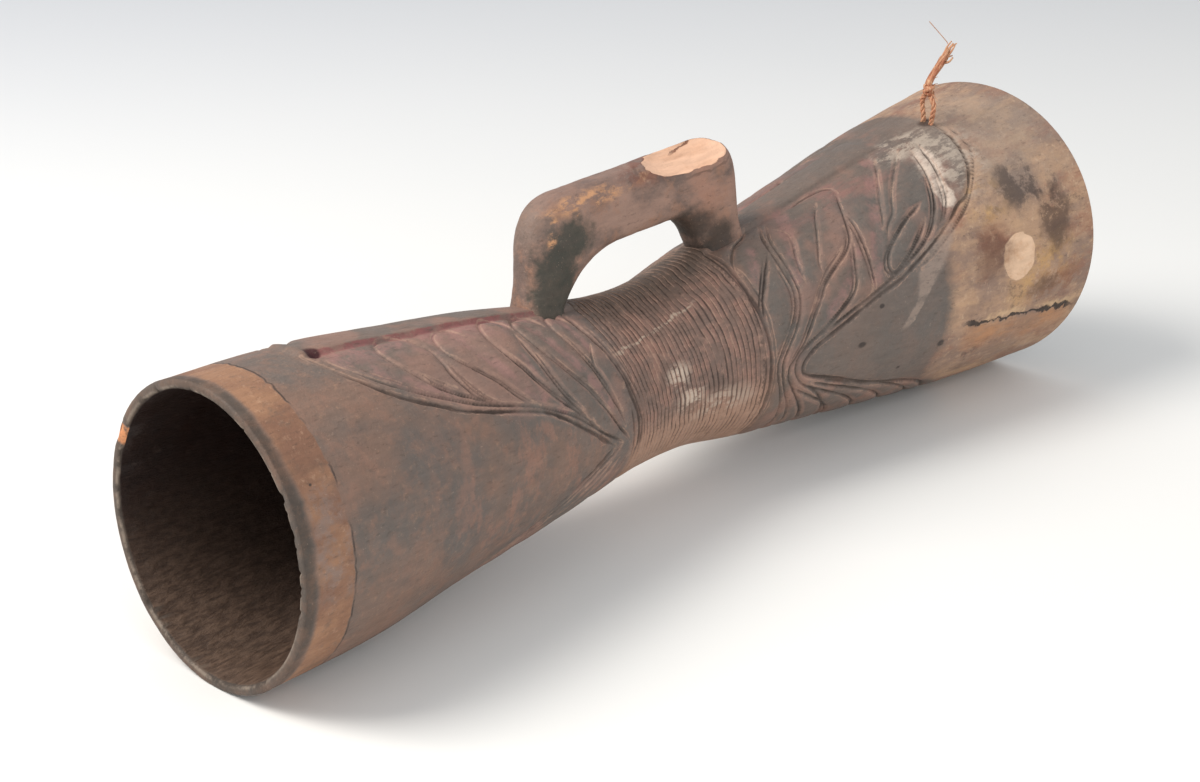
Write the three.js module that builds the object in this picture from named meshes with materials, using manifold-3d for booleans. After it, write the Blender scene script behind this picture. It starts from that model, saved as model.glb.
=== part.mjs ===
// A hand drum carved from one log: an hourglass shell open at both ends, with a bail handle and leaf carving.
// Millimetres, +Z up. The near mouth, which carried the skin, faces -X, and the drum lies on its two rims.
import * as THREE from "three";
import { mergeVertices } from "three/addons/utils/BufferGeometryUtils.js";
import Module from "manifold-3d";

const wasm = await Module();
wasm.setup();

// Shell. Radii follow the share of the length counted from the near mouth.
const LENGTH = 640;
const SKIN_RADII = [
  [0, 78.1], [0.1, 76.2], [0.2, 68.5], [0.3, 60.8], [0.38, 52.6], [0.44, 47.6],
  [0.5, 47.8], [0.57, 55.7], [0.65, 63.4], [0.75, 73.0], [0.87, 83.8], [1, 91.5],
];
const AXIS_SAG = [[0, 0], [0.25, -1.9], [0.45, -7.0], [0.65, -5.8], [1, 0]];
const WALL = [[0, 5.5], [0.12, 8], [0.3, 14], [0.47, 17], [0.65, 14], [0.88, 10], [1, 8]];
const OVALNESS = [[0, -0.014], [0.3, -0.026], [0.47, -0.047], [0.65, -0.026], [1, -0.02]];
const RIM_ROUND = 1.5;
const NEAR_RIM_LEAN = { top: 0.046, side: -0.027 };
const FAR_RIM_LEAN = { top: 0.014, side: 0.083 };
const RIM_LEAN_REACH = 0.1;
const PLAIN_ROWS = 4;
const BORE_STEPS = 14;

// How the drum lies: rolled a little about its length, and propped by the wider far rim.
const ROLL = THREE.MathUtils.degToRad(6);
const REST_FLAT_DEPTH = 0.8;

// Columns of the shell's grid, with two beside each edge of the raised band.
const COLUMN_STEP = 10;
const BAND_EDGE = 10;
const BAND_EDGE_SPREAD = 1.5;

// Raised band along the top, on both sides of the handle.
const BAND_HEIGHT = 3;
const BAND_NEAR_START = 0.093;
const BAND_FAR_END = 0.825;
const BAND_NOSE = 0.02;

// Carved lines, as shares of the length over the angle from the handle's plane, the same on both sides.
const NEAR_BORDER = [
  [0, 0.1], [11, 0.103], [33, 0.122], [54, 0.186], [78, 0.289], [105, 0.37],
  [117, 0.321], [133, 0.25], [155, 0.14], [180, 0.105],
];
const FAR_BORDER = [
  [0, 0.897], [33, 0.885], [56, 0.834], [74, 0.718], [89, 0.648], [103, 0.603],
  [119, 0.674], [138, 0.795], [160, 0.87], [180, 0.89],
];
const WAIST_NEAR = [[0, 0.386], [40, 0.383], [110, 0.401], [180, 0.403]];
const WAIST_FAR = [[0, 0.57], [180, 0.569]];
const BORDER_PITCH = 4.6;
const BORDER_DEPTH = 1.5;
const BORDER_BEAD_HEIGHT = 0.2;
const BORDER_SLANT_STEP = 2;
const BORDER_SLANT_LIMIT = 2.2;
const LEAVES = 5;
const LEAF_HEIGHT = 1.7;
const LEAF_FULL_WIDTH = 12;
const LEAF_CREST_NEAR = 0.25;
const LEAF_CREST_FAR = 0.55;
const LEAF_SHOULDER = 0.55;
const LEAF_TIP_START = 10;
const LEAF_TIP_FULL = 30;
const PANEL_SINK = 0.5;
const WAIST_RINGS = 12;
const RING_DEPTH = 0.9;
const WAIST_LINE_PITCH = 3.4;
const WAIST_LINE_DEPTH = 1.05;

// Bail handle, as points of its side outline: along the drum, and up from the drum's axis.
const HANDLE_FOOT_HEIGHT = 44;
const HANDLE_OUTER = {
  near: 220, nearTop: 230, far: 399, farTop: 395, topNear: 110.5, topFar: 114.5,
  nearCorner: 24, farCorner: 24,
};
const HANDLE_GAP = {
  near: 245, nearTop: 268, far: 365, farTop: 351, topNear: 73, topFar: 74.5,
  nearCorner: 30, farCorner: 16,
};
const HANDLE_THICK_FOOT = 22;
const HANDLE_THICK_TOP = 26;
const HANDLE_FOOT_SPREAD = 2.5;
const HANDLE_FOOT_GROWTH = 0.05;
const HANDLE_FOOT_FULL = 8;
const HANDLE_FOOT_FADE = 26;
const HANDLE_SQUARENESS = 3.4;
const HANDLE_SIDES = 16;
const HANDLE_LEG_STEPS = 7;
const HANDLE_CORNER_STEPS = 5;
const HANDLE_BAR_STEPS = 6;

// Fibre tie, through two small holes near the far mouth.
const TIE_AT = 0.887;
const TIE_ANGLE = 16;
const TIE_HOLE_RADIUS = 2.4;
const TIE_HOLE_TURN = -8;
const TIE_HOLE_STEP = 3;
const TIE_CORD_RADIUS = 1.7;
const TIE_SIDES = 8;
const TIE_LOOP_STEPS = 30;
const TIE_LOOP_RISE = 20;
const TIE_LOOP_DIP = 5;
const TIE_LOOP_EXIT = 1.5;
const TIE_LOOP_BULGE = 0.25;
const TIE_KNOT_RADIUS = 4.2;
const TIE_TAIL_STEPS = 8;
const TIE_TAIL_RISE = 29;
const TIE_TAIL_SWING = 13;
const TIE_TAIL_HEADING = THREE.MathUtils.degToRad(-43.8);
const TIE_TAIL_ARCH = 3;
const TIE_TAIL_RADIUS = 2.8;
const TIE_TAIL_TAPER = 0.4;

// Value at x on a smooth curve through a few knots.
function curve(knots, x) {
  const last = knots.length - 1;
  const held = Math.min(Math.max(x, knots[0][0]), knots[last][0]);
  let i = 0;
  while (i < last - 1 && held > knots[i + 1][0]) i += 1;
  const slope = (k) => {
    const before = knots[Math.max(k - 1, 0)];
    const after = knots[Math.min(k + 1, last)];
    return (after[1] - before[1]) / (after[0] - before[0]);
  };
  const span = knots[i + 1][0] - knots[i][0];
  const t = (held - knots[i][0]) / span;
  const rise = knots[i + 1][1] - knots[i][1];
  const ease = t * t * (3 - 2 * t);
  const lead = t * (1 - t) * (1 - t) * slope(i) * span;
  const trail = t * t * (1 - t) * slope(i + 1) * span;
  return knots[i][1] + rise * ease + lead - trail;
}

function smooth(low, high, x) {
  const t = Math.min(Math.max((x - low) / (high - low), 0), 1);
  return t * t * (3 - 2 * t);
}

// The grid's columns, in degrees from the handle's plane.
function columnAngles() {
  const angles = [];
  for (let a = -180; a < 180; a += COLUMN_STEP) {
    if (Math.abs(a) === BAND_EDGE) {
      angles.push(a - BAND_EDGE_SPREAD, a + BAND_EDGE_SPREAD);
    } else {
      angles.push(a);
    }
  }
  return angles;
}

// Point of the shell at a share of its length and an angle from the handle's plane, some way inside the skin.
function shellPoint(share, degrees, inward) {
  const angle = THREE.MathUtils.degToRad(degrees);
  const oval = curve(OVALNESS, share);
  const radius = curve(SKIN_RADII, share) - inward;
  const nearPart = Math.max(1 - share / RIM_LEAN_REACH, 0);
  const farPart = Math.max(1 - (1 - share) / RIM_LEAN_REACH, 0);
  const leanAt = (lean) => radius * (lean.top * Math.cos(angle) + lean.side * Math.sin(angle));
  const along = share * LENGTH + nearPart * leanAt(NEAR_RIM_LEAN) + farPart * leanAt(FAR_RIM_LEAN);
  return new THREE.Vector3(
    along,
    -radius * (1 + oval) * Math.sin(angle),
    curve(AXIS_SAG, share) + radius * (1 - oval) * Math.cos(angle),
  );
}

// Height of the raised band, which ends in a rounded nose before each mouth.
function bandHeight(share, degrees) {
  const across = Math.abs(degrees);
  const start = smooth(BAND_NEAR_START, BAND_NEAR_START + BAND_NOSE, share);
  const end = 1 - smooth(BAND_FAR_END - BAND_NOSE, BAND_FAR_END, share);
  return across < BAND_EDGE ? BAND_HEIGHT * start * end : 0;
}

// How much a border line's slant widens it where it is measured along the drum.
function slant(border, degrees) {
  const before = curve(border, Math.max(degrees - BORDER_SLANT_STEP, 0));
  const after = curve(border, Math.min(degrees + BORDER_SLANT_STEP, 180));
  const rise = ((after - before) * LENGTH) / (2 * BORDER_SLANT_STEP);
  const arc = THREE.MathUtils.degToRad(curve(SKIN_RADII, curve(border, degrees)));
  return Math.min(Math.hypot(1, rise / arc), BORDER_SLANT_LIMIT);
}

// Rows of the outer skin at one column, each a share of the length and a height over the plain skin.
function skinRows(degrees) {
  const across = Math.abs(degrees);
  const nearBorder = curve(NEAR_BORDER, across);
  const farBorder = curve(FAR_BORDER, across);
  const waistNear = curve(WAIST_NEAR, across);
  const waistFar = curve(WAIST_FAR, across);
  const nearPitch = (BORDER_PITCH / LENGTH) * slant(NEAR_BORDER, across);
  const farPitch = (BORDER_PITCH / LENGTH) * slant(FAR_BORDER, across);
  const waistPitch = WAIST_LINE_PITCH / LENGTH;
  const carved = smooth(BAND_EDGE, LEAF_TIP_START + BAND_EDGE, across);
  const rows = [];
  const plain = (from, to, count, height) => {
    for (let i = 0; i < count; i += 1) rows.push([from + ((to - from) * i) / count, height]);
  };
  // A double groove: groove, bead, groove. Each row is half a pitch from the last.
  const doubleGroove = (centre, pitch, depth) => {
    const heights = [0, -depth, BORDER_BEAD_HEIGHT, -depth, 0];
    heights.forEach((height, i) => rows.push([centre + ((i - 2) * pitch) / 2, height * carved]));
  };
  // Leaves lying side by side between two lines, each with a sharp crest near one edge.
  const leaves = (from, to, crestAt) => {
    const width = (to - from) / LEAVES;
    const fullness = Math.min((width * LENGTH) / LEAF_FULL_WIDTH, 1);
    const tip = smooth(LEAF_TIP_START, LEAF_TIP_FULL, across);
    const height = LEAF_HEIGHT * fullness * tip;
    for (let k = 0; k < LEAVES; k += 1) {
      if (k > 0) rows.push([from + k * width, -PANEL_SINK * carved]);
      rows.push([from + (k + crestAt) * width, height]);
      rows.push([from + (k + (1 + crestAt) / 2) * width, height * LEAF_SHOULDER]);
    }
  };
  plain(0, nearBorder - nearPitch, PLAIN_ROWS, 0);
  doubleGroove(nearBorder, nearPitch, BORDER_DEPTH);
  leaves(nearBorder + nearPitch, waistNear - waistPitch, LEAF_CREST_NEAR);
  doubleGroove(waistNear, waistPitch, WAIST_LINE_DEPTH);
  const ringFrom = waistNear + waistPitch;
  const ringTo = waistFar - waistPitch;
  const ringStep = (ringTo - ringFrom) / (2 * WAIST_RINGS + 1);
  for (let i = 1; i <= 2 * WAIST_RINGS; i += 1) {
    rows.push([ringFrom + i * ringStep, i % 2 ? -RING_DEPTH * carved : 0]);
  }
  doubleGroove(waistFar, waistPitch, WAIST_LINE_DEPTH);
  leaves(waistFar + waistPitch, farBorder - farPitch, LEAF_CREST_FAR);
  doubleGroove(farBorder, farPitch, BORDER_DEPTH);
  plain(farBorder + farPitch * 1.5, 1, PLAIN_ROWS, 0);
  return rows;
}

// The whole shell as rings, out along the skin and back along the bore, closed on itself.
function shellMesh() {
  const angles = columnAngles();
  const columns = angles.map((degrees) => {
    const points = skinRows(degrees).map(([share, height]) =>
      shellPoint(share, degrees, -height - bandHeight(share, degrees)),
    );
    const rim = RIM_ROUND / LENGTH;
    points[0] = shellPoint(rim, degrees, 0);
    points.push(shellPoint(1 - rim, degrees, 0));
    points.push(shellPoint(1, degrees, RIM_ROUND));
    points.push(shellPoint(1, degrees, curve(WALL, 1) - RIM_ROUND));
    for (let i = 0; i <= BORE_STEPS; i += 1) {
      const share = 1 - rim - ((1 - 2 * rim) * i) / BORE_STEPS;
      points.push(shellPoint(share, degrees, curve(WALL, share)));
    }
    points.push(shellPoint(0, degrees, curve(WALL, 0) - RIM_ROUND));
    points.push(shellPoint(0, degrees, RIM_ROUND));
    return points;
  });
  return closedGrid(columns);
}

// Joins columns of points into one closed surface that wraps both ways.
function closedGrid(columns) {
  const rows = columns[0].length;
  const position = columns.flatMap((points) => points.flatMap((p) => [p.x, p.y, p.z]));
  const index = [];
  for (let c = 0; c < columns.length; c += 1) {
    const next = (c + 1) % columns.length;
    for (let r = 0; r < rows; r += 1) {
      const over = (r + 1) % rows;
      const [a, b] = [c * rows + r, c * rows + over];
      const [d, e] = [next * rows + r, next * rows + over];
      index.push(a, b, e, a, e, d);
    }
  }
  return geometryOf(position, index);
}

function geometryOf(position, index) {
  const geometry = new THREE.BufferGeometry();
  geometry.setAttribute("position", new THREE.Float32BufferAttribute(position, 3));
  geometry.setIndex(index);
  return geometry;
}

// Side outline of the handle: up one leg, round the corner, along the bar and down again.
function archOutline(shape) {
  const nearFoot = new THREE.Vector2(shape.near, HANDLE_FOOT_HEIGHT);
  const farFoot = new THREE.Vector2(shape.far, HANDLE_FOOT_HEIGHT);
  const nearCorner = new THREE.Vector2(shape.nearTop, shape.topNear);
  const farCorner = new THREE.Vector2(shape.farTop, shape.topFar);
  const toward = (from, to, distance) =>
    from.clone().add(to.clone().sub(from).setLength(distance));
  const points = [];
  const straight = (from, to, steps) => {
    for (let i = 0; i < steps; i += 1) points.push(from.clone().lerp(to, i / steps));
  };
  const corner = (from, at, to, steps) => {
    const bend = new THREE.QuadraticBezierCurve(from, at, to);
    for (let i = 0; i < steps; i += 1) points.push(bend.getPoint(i / steps));
  };
  const nearIn = toward(nearCorner, nearFoot, shape.nearCorner);
  const nearOut = toward(nearCorner, farCorner, shape.nearCorner);
  const farIn = toward(farCorner, nearCorner, shape.farCorner);
  const farOut = toward(farCorner, farFoot, shape.farCorner);
  straight(nearFoot, nearIn, HANDLE_LEG_STEPS);
  corner(nearIn, nearCorner, nearOut, HANDLE_CORNER_STEPS);
  straight(nearOut, farIn, HANDLE_BAR_STEPS);
  corner(farIn, farCorner, farOut, HANDLE_CORNER_STEPS);
  straight(farOut, farFoot, HANDLE_LEG_STEPS);
  points.push(farFoot);
  return points;
}

// The handle: a rounded section carried along between its inner and outer outlines.
function handleMesh() {
  const outer = archOutline(HANDLE_OUTER);
  const inner = archOutline(HANDLE_GAP);
  const rings = outer.map((outside, i) => {
    const inside = inner[i];
    const middle = outside.clone().add(inside).multiplyScalar(0.5);
    const half = outside.clone().sub(middle);
    const rise = smooth(HANDLE_FOOT_HEIGHT, HANDLE_OUTER.topNear, middle.y);
    const overFoot = middle.y - HANDLE_FOOT_HEIGHT;
    const foot = 1 - smooth(HANDLE_FOOT_FULL, HANDLE_FOOT_FADE, overFoot);
    const thick = HANDLE_THICK_FOOT + (HANDLE_THICK_TOP - HANDLE_THICK_FOOT) * rise;
    const halfThick = thick / 2 + HANDLE_FOOT_SPREAD * foot;
    const points = [];
    for (let k = 0; k < HANDLE_SIDES; k += 1) {
      const turn = ((k + 0.5) / HANDLE_SIDES) * 2 * Math.PI;
      const power = 2 / HANDLE_SQUARENESS;
      const out = Math.sign(Math.cos(turn)) * Math.abs(Math.cos(turn)) ** power;
      const side = Math.sign(Math.sin(turn)) * Math.abs(Math.sin(turn)) ** power;
      const at = middle.clone().addScaledVector(half, out * (1 + HANDLE_FOOT_GROWTH * foot));
      points.push(new THREE.Vector3(at.x, side * halfThick, at.y));
    }
    return points;
  });
  return loft(rings);
}

// A closed solid through rings of points, capped flat at both ends.
function loft(rings) {
  const sides = rings[0].length;
  const position = rings.flatMap((ring) => ring.flatMap((p) => [p.x, p.y, p.z]));
  const index = [];
  for (let r = 0; r < rings.length - 1; r += 1) {
    for (let k = 0; k < sides; k += 1) {
      const next = (k + 1) % sides;
      const [a, b] = [r * sides + k, r * sides + next];
      const [d, e] = [a + sides, b + sides];
      index.push(a, b, e, a, e, d);
    }
  }
  const last = (rings.length - 1) * sides;
  for (let k = 1; k < sides - 1; k += 1) {
    index.push(0, k + 1, k);
    index.push(last, last + k, last + k + 1);
  }
  return geometryOf(position, index);
}

// A round tube whose radius may change along its path.
function tube(path, steps, radiusAt) {
  const frames = path.computeFrenetFrames(steps, false);
  const rings = [];
  for (let i = 0; i <= steps; i += 1) {
    const centre = path.getPointAt(i / steps);
    const radius = radiusAt(i / steps);
    const ring = [];
    for (let k = 0; k < TIE_SIDES; k += 1) {
      const turn = (k / TIE_SIDES) * 2 * Math.PI;
      const point = centre.clone();
      point.addScaledVector(frames.normals[i], radius * Math.cos(turn));
      point.addScaledVector(frames.binormals[i], radius * Math.sin(turn));
      ring.push(point);
    }
    rings.push(ring);
  }
  return loft(rings);
}

// A three.js geometry as a solid that can be joined and cut.
function solid(geometry) {
  const bare = geometry.clone();
  bare.deleteAttribute("normal");
  bare.deleteAttribute("uv");
  const merged = mergeVertices(bare, 1e-4);
  const made = new wasm.Manifold(
    new wasm.Mesh({
      numProp: 3,
      vertProperties: new Float32Array(merged.attributes.position.array),
      triVerts: new Uint32Array(merged.index.array),
    }),
  );
  if (made.volume() >= 0) return made;
  const turned = new Uint32Array(merged.index.array);
  for (let i = 0; i < turned.length; i += 3) {
    [turned[i + 1], turned[i + 2]] = [turned[i + 2], turned[i + 1]];
  }
  return new wasm.Manifold(
    new wasm.Mesh({
      numProp: 3,
      vertProperties: new Float32Array(merged.attributes.position.array),
      triVerts: turned,
    }),
  );
}

function geometryFrom(made) {
  const mesh = made.getMesh();
  const position = [];
  for (let i = 0; i < mesh.numVert; i += 1) {
    const at = i * mesh.numProp;
    position.push(...mesh.vertProperties.subarray(at, at + 3));
  }
  return geometryOf(position, Array.from(mesh.triVerts));
}

// The two holes of the tie: where they leave the skin, and which way the wall faces there.
const tieOut = shellPoint(TIE_AT, TIE_ANGLE + TIE_HOLE_TURN / 2, 0).setX(0).normalize();
const tieHoles = [0, 1].map((i) =>
  shellPoint(TIE_AT + (i * TIE_HOLE_STEP) / LENGTH, TIE_ANGLE + i * TIE_HOLE_TURN, 0),
);
const tieWall = curve(WALL, TIE_AT);

function holeMesh(mouth) {
  const from = mouth.clone().addScaledVector(tieOut, -2 * tieWall);
  const to = mouth.clone().addScaledVector(tieOut, tieWall);
  return tube(new THREE.LineCurve3(from, to), 1, () => TIE_HOLE_RADIUS);
}

// How the drum comes to rest: rolled about its length, then tipped until both rims touch the floor.
const nearLow = curve(SKIN_RADII, 0) * (1 - curve(OVALNESS, 0));
const farLow = curve(SKIN_RADII, 1) * (1 - curve(OVALNESS, 1));
const tip = Math.asin((farLow - nearLow) / LENGTH);
const pose = new THREE.Matrix4().makeRotationY(-tip);
pose.multiply(new THREE.Matrix4().makeRotationX(-ROLL));

let body = solid(shellMesh().applyMatrix4(pose));
body = body.add(solid(handleMesh().applyMatrix4(pose)));
for (const mouth of tieHoles) {
  body = body.subtract(solid(holeMesh(mouth).applyMatrix4(pose)));
}
const posedBox = body.boundingBox();
const floorHeight = posedBox.min[2] + REST_FLAT_DEPTH;
const floorBlock = new THREE.BoxGeometry(2 * LENGTH, LENGTH, LENGTH);
floorBlock.translate(LENGTH / 2, 0, floorHeight - LENGTH / 2);
body = body.subtract(solid(floorBlock));
const box = body.boundingBox();
const home = new THREE.Matrix4().makeTranslation(
  -(box.min[0] + box.max[0]) / 2,
  -(box.min[1] + box.max[1]) / 2,
  -box.min[2],
);

// The tie: a loop down one hole and up the other, a knot over it, and a tail that stands up.
function tieSolid() {
  const middle = tieHoles[0].clone().lerp(tieHoles[1], 0.5);
  const up = new THREE.Vector3(0, 0, 1).applyAxisAngle(new THREE.Vector3(1, 0, 0), ROLL);
  const knot = middle.clone().addScaledVector(up, TIE_LOOP_RISE);
  const under = middle.clone().addScaledVector(tieOut, -tieWall - TIE_LOOP_DIP);
  const strand = (hole) => {
    const inner = hole.clone().addScaledVector(tieOut, -tieWall);
    const outer = hole.clone().addScaledVector(tieOut, TIE_LOOP_EXIT);
    const bulge = outer.clone().lerp(knot, 0.5);
    bulge.add(hole.clone().sub(middle).multiplyScalar(TIE_LOOP_BULGE));
    return [inner, outer, bulge];
  };
  const [innerA, outerA, bulgeA] = strand(tieHoles[0]);
  const [innerB, outerB, bulgeB] = strand(tieHoles[1]);
  const mid = (a, b) => a.clone().lerp(b, 0.5);
  const loop = new THREE.CatmullRomCurve3([
    knot, bulgeA, outerA, mid(outerA, innerA), innerA, under,
    innerB, mid(innerB, outerB), outerB, bulgeB, knot,
  ], false, "centripetal");
  const heading = new THREE.Vector3(Math.cos(TIE_TAIL_HEADING), Math.sin(TIE_TAIL_HEADING), 0);
  const swing = heading.multiplyScalar(TIE_TAIL_SWING);
  const tailEnd = knot.clone().add(swing).addScaledVector(up, TIE_TAIL_RISE);
  const tailMid = mid(knot, tailEnd).addScaledVector(up, TIE_TAIL_ARCH);
  const tail = new THREE.CatmullRomCurve3([knot, tailMid, tailEnd]);
  const knotBall = new THREE.IcosahedronGeometry(TIE_KNOT_RADIUS, 1);
  knotBall.translate(knot.x, knot.y, knot.z);
  const tailRadius = (t) => TIE_TAIL_RADIUS * (1 - TIE_TAIL_TAPER * (1 - Math.sin(Math.PI * t)));
  return solid(tube(loop, TIE_LOOP_STEPS, () => TIE_CORD_RADIUS).applyMatrix4(pose))
    .add(solid(knotBall.applyMatrix4(pose)))
    .add(solid(tube(tail, TIE_TAIL_STEPS, tailRadius).applyMatrix4(pose)));
}

function namedMesh(name, made, color, roughness) {
  const material = new THREE.MeshStandardMaterial({ color, roughness, metalness: 0 });
  const mesh = new THREE.Mesh(geometryFrom(made).applyMatrix4(home), material);
  mesh.name = name;
  return mesh;
}

const drum = new THREE.Group();
drum.add(namedMesh("drum_body", body, 0x6b5148, 0.75));
drum.add(namedMesh("fibre_tie", tieSolid(), 0xb07a4a, 0.9));

export default drum;
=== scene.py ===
"""The carved hand drum: wood skin with its carving, handle, fibre tie, floor, light and camera."""
import math
import bpy
import numpy as np
from mathutils import Matrix, Vector


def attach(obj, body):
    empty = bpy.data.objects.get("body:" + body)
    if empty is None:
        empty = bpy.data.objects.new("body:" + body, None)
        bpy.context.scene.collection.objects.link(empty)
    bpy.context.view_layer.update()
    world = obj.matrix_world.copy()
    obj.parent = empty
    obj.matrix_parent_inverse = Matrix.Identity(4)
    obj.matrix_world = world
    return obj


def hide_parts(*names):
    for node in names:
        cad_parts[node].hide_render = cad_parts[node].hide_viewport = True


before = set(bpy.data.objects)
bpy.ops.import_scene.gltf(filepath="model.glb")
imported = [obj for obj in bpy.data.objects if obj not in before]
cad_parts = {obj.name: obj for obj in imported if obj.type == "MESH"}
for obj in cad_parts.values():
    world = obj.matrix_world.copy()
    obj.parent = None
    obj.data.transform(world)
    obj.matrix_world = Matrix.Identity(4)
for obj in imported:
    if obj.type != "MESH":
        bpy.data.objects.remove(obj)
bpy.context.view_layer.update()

MM = 0.001
LENGTH = 640.0
ROLL = math.radians(6)
# How low each rim reaches under the axis, in mm; the drum lies on both, so it tips by their difference.
NEAR_LOW, FAR_LOW = 78.1 * 1.014, 91.5 * 1.02
TIP = math.asin((FAR_LOW - NEAR_LOW) / LENGTH)
# Where the near mouth's middle is in the shared frame, in mm.
HOME = (-322.122, 0.004, 78.158)

# Along the drum, by share of its length: radius, sag of the axis and wall in mm, and the oval's share.
SKIN_RADII = [
    (0, 78.1), (0.1, 76.2), (0.2, 68.5), (0.3, 60.8), (0.38, 52.6), (0.44, 47.6),
    (0.5, 47.8), (0.57, 55.7), (0.65, 63.4), (0.75, 73.0), (0.87, 83.8), (1, 91.5),
]
AXIS_SAG = [(0, 0), (0.25, -1.9), (0.45, -7.0), (0.65, -5.8), (1, 0)]
WALL = [(0, 5.5), (0.12, 8), (0.3, 14), (0.47, 17), (0.65, 14), (0.88, 10), (1, 8)]
OVALNESS = [(0, -0.014), (0.3, -0.026), (0.47, -0.047), (0.65, -0.026), (1, -0.02)]
# How far the mouths lean out along the drum, per mm of radius: over the angle's cosine and sine.
NEAR_LEAN, FAR_LEAN, RIM_LEAN_REACH = (0.046, -0.027), (0.014, 0.083), 0.1

# The carving's main lines: share of the length over the angle from the handle's plane.
NEAR_BORDER = [
    (0, 0.1), (11, 0.103), (33, 0.122), (54, 0.186), (78, 0.289), (105, 0.37),
    (117, 0.321), (133, 0.25), (155, 0.14), (180, 0.105),
]
FAR_BORDER = [
    (0, 0.897), (33, 0.885), (56, 0.834), (74, 0.718), (89, 0.648), (103, 0.603),
    (119, 0.674), (138, 0.795), (160, 0.87), (180, 0.89),
]
WAIST_NEAR = [(0, 0.386), (40, 0.383), (110, 0.401), (180, 0.403)]
WAIST_FAR = [(0, 0.57), (180, 0.569)]
# Where the tie's two holes are: share, angle, and the step to the second one in degrees and mm.
TIE_AT, TIE_ANGLE, TIE_TURN, TIE_STEP = 0.889, 14.5, -5.0, 2.0


def curve(knots, x):
    """Value at x, a number or an array, on a smooth curve through a few knots."""
    kx = np.array([k[0] for k in knots], float)
    ky = np.array([k[1] for k in knots], float)
    last = len(kx) - 1
    before, after = np.maximum(np.arange(last + 1) - 1, 0), np.minimum(np.arange(last + 1) + 1, last)
    slope = (ky[after] - ky[before]) / (kx[after] - kx[before])
    held = np.clip(np.asarray(x, float), kx[0], kx[-1])
    i = np.clip(np.searchsorted(kx, held, side="right") - 1, 0, last - 1)
    span = kx[i + 1] - kx[i]
    t = (held - kx[i]) / span
    rise = ky[i + 1] - ky[i]
    lead = t * (1 - t) ** 2 * slope[i] * span
    trail = t * t * (1 - t) * slope[i + 1] * span
    return ky[i] + rise * t * t * (3 - 2 * t) + lead - trail


def smooth(low, high, x):
    """Soft step from 0 at low to 1 at high."""
    t = np.clip((np.asarray(x, float) - low) / (high - low), 0, 1)
    return t * t * (3 - 2 * t)


def shell(share, degrees, inward):
    """Points of the shell in the handle's own frame, in millimetres."""
    angle = np.radians(degrees)
    oval = curve(OVALNESS, share)
    radius = curve(SKIN_RADII, share) - inward
    near = np.maximum(1 - share / RIM_LEAN_REACH, 0)
    far = np.maximum(1 - (1 - share) / RIM_LEAN_REACH, 0)
    along = share * LENGTH
    for at_mouth, (up, out) in ((near, NEAR_LEAN), (far, FAR_LEAN)):
        along = along + at_mouth * radius * (up * np.cos(angle) + out * np.sin(angle))
    y = -radius * (1 + oval) * np.sin(angle)
    z = curve(AXIS_SAG, share) + radius * (1 - oval) * np.cos(angle)
    return np.stack([along, y, z], -1)


def posed(points):
    """From the handle's frame, in mm, to the shared frame, in metres."""
    p = np.asarray(points, float)
    x, y, z = p[..., 0], p[..., 1], p[..., 2]
    y, z = y * math.cos(ROLL) + z * math.sin(ROLL), -y * math.sin(ROLL) + z * math.cos(ROLL)
    x, z = x * math.cos(TIP) - z * math.sin(TIP), x * math.sin(TIP) + z * math.cos(TIP)
    return np.stack([x + HOME[0], y + HOME[1], z + HOME[2]], -1) * MM


def value_noise(p, scale, seed):
    """Smooth noise from -1 to 1 at points p, with cells of the given size."""
    q = np.asarray(p, float) / scale + seed * 17.13
    cell = np.floor(q).astype(np.int64)
    f = q - cell
    f = f * f * (3 - 2 * f)
    total = 0.0
    for corner in range(8):
        step = np.array([corner & 1, (corner >> 1) & 1, (corner >> 2) & 1])
        c = cell + step
        h = (c[..., 0] * 73856093) ^ (c[..., 1] * 19349663) ^ (c[..., 2] * 83492791)
        h = (h ^ (h >> 13)) * 1274126177
        value = ((h ^ (h >> 16)) & 0xFFFF) / 32767.5 - 1
        weight = np.prod(np.where(step == 1, f, 1 - f), axis=-1)
        total = total + weight * value
    return total


def layered(p, scale, seed):
    """Three layers of noise, each finer and weaker than the last."""
    sizes = (1.0, 0.5, 0.25)
    total = 0.0
    for k, size in enumerate(sizes):
        total = total + size * value_noise(p, scale / 2**k, seed + k)
    return total / sum(sizes)


def line(*knots, width, depth):
    """A carved line: knots of length, in thousandths, and angle, with its half width and depth in mm."""
    return {"knots": [(a / 1000, b) for a, b in knots], "width": width, "depth": depth}


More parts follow.
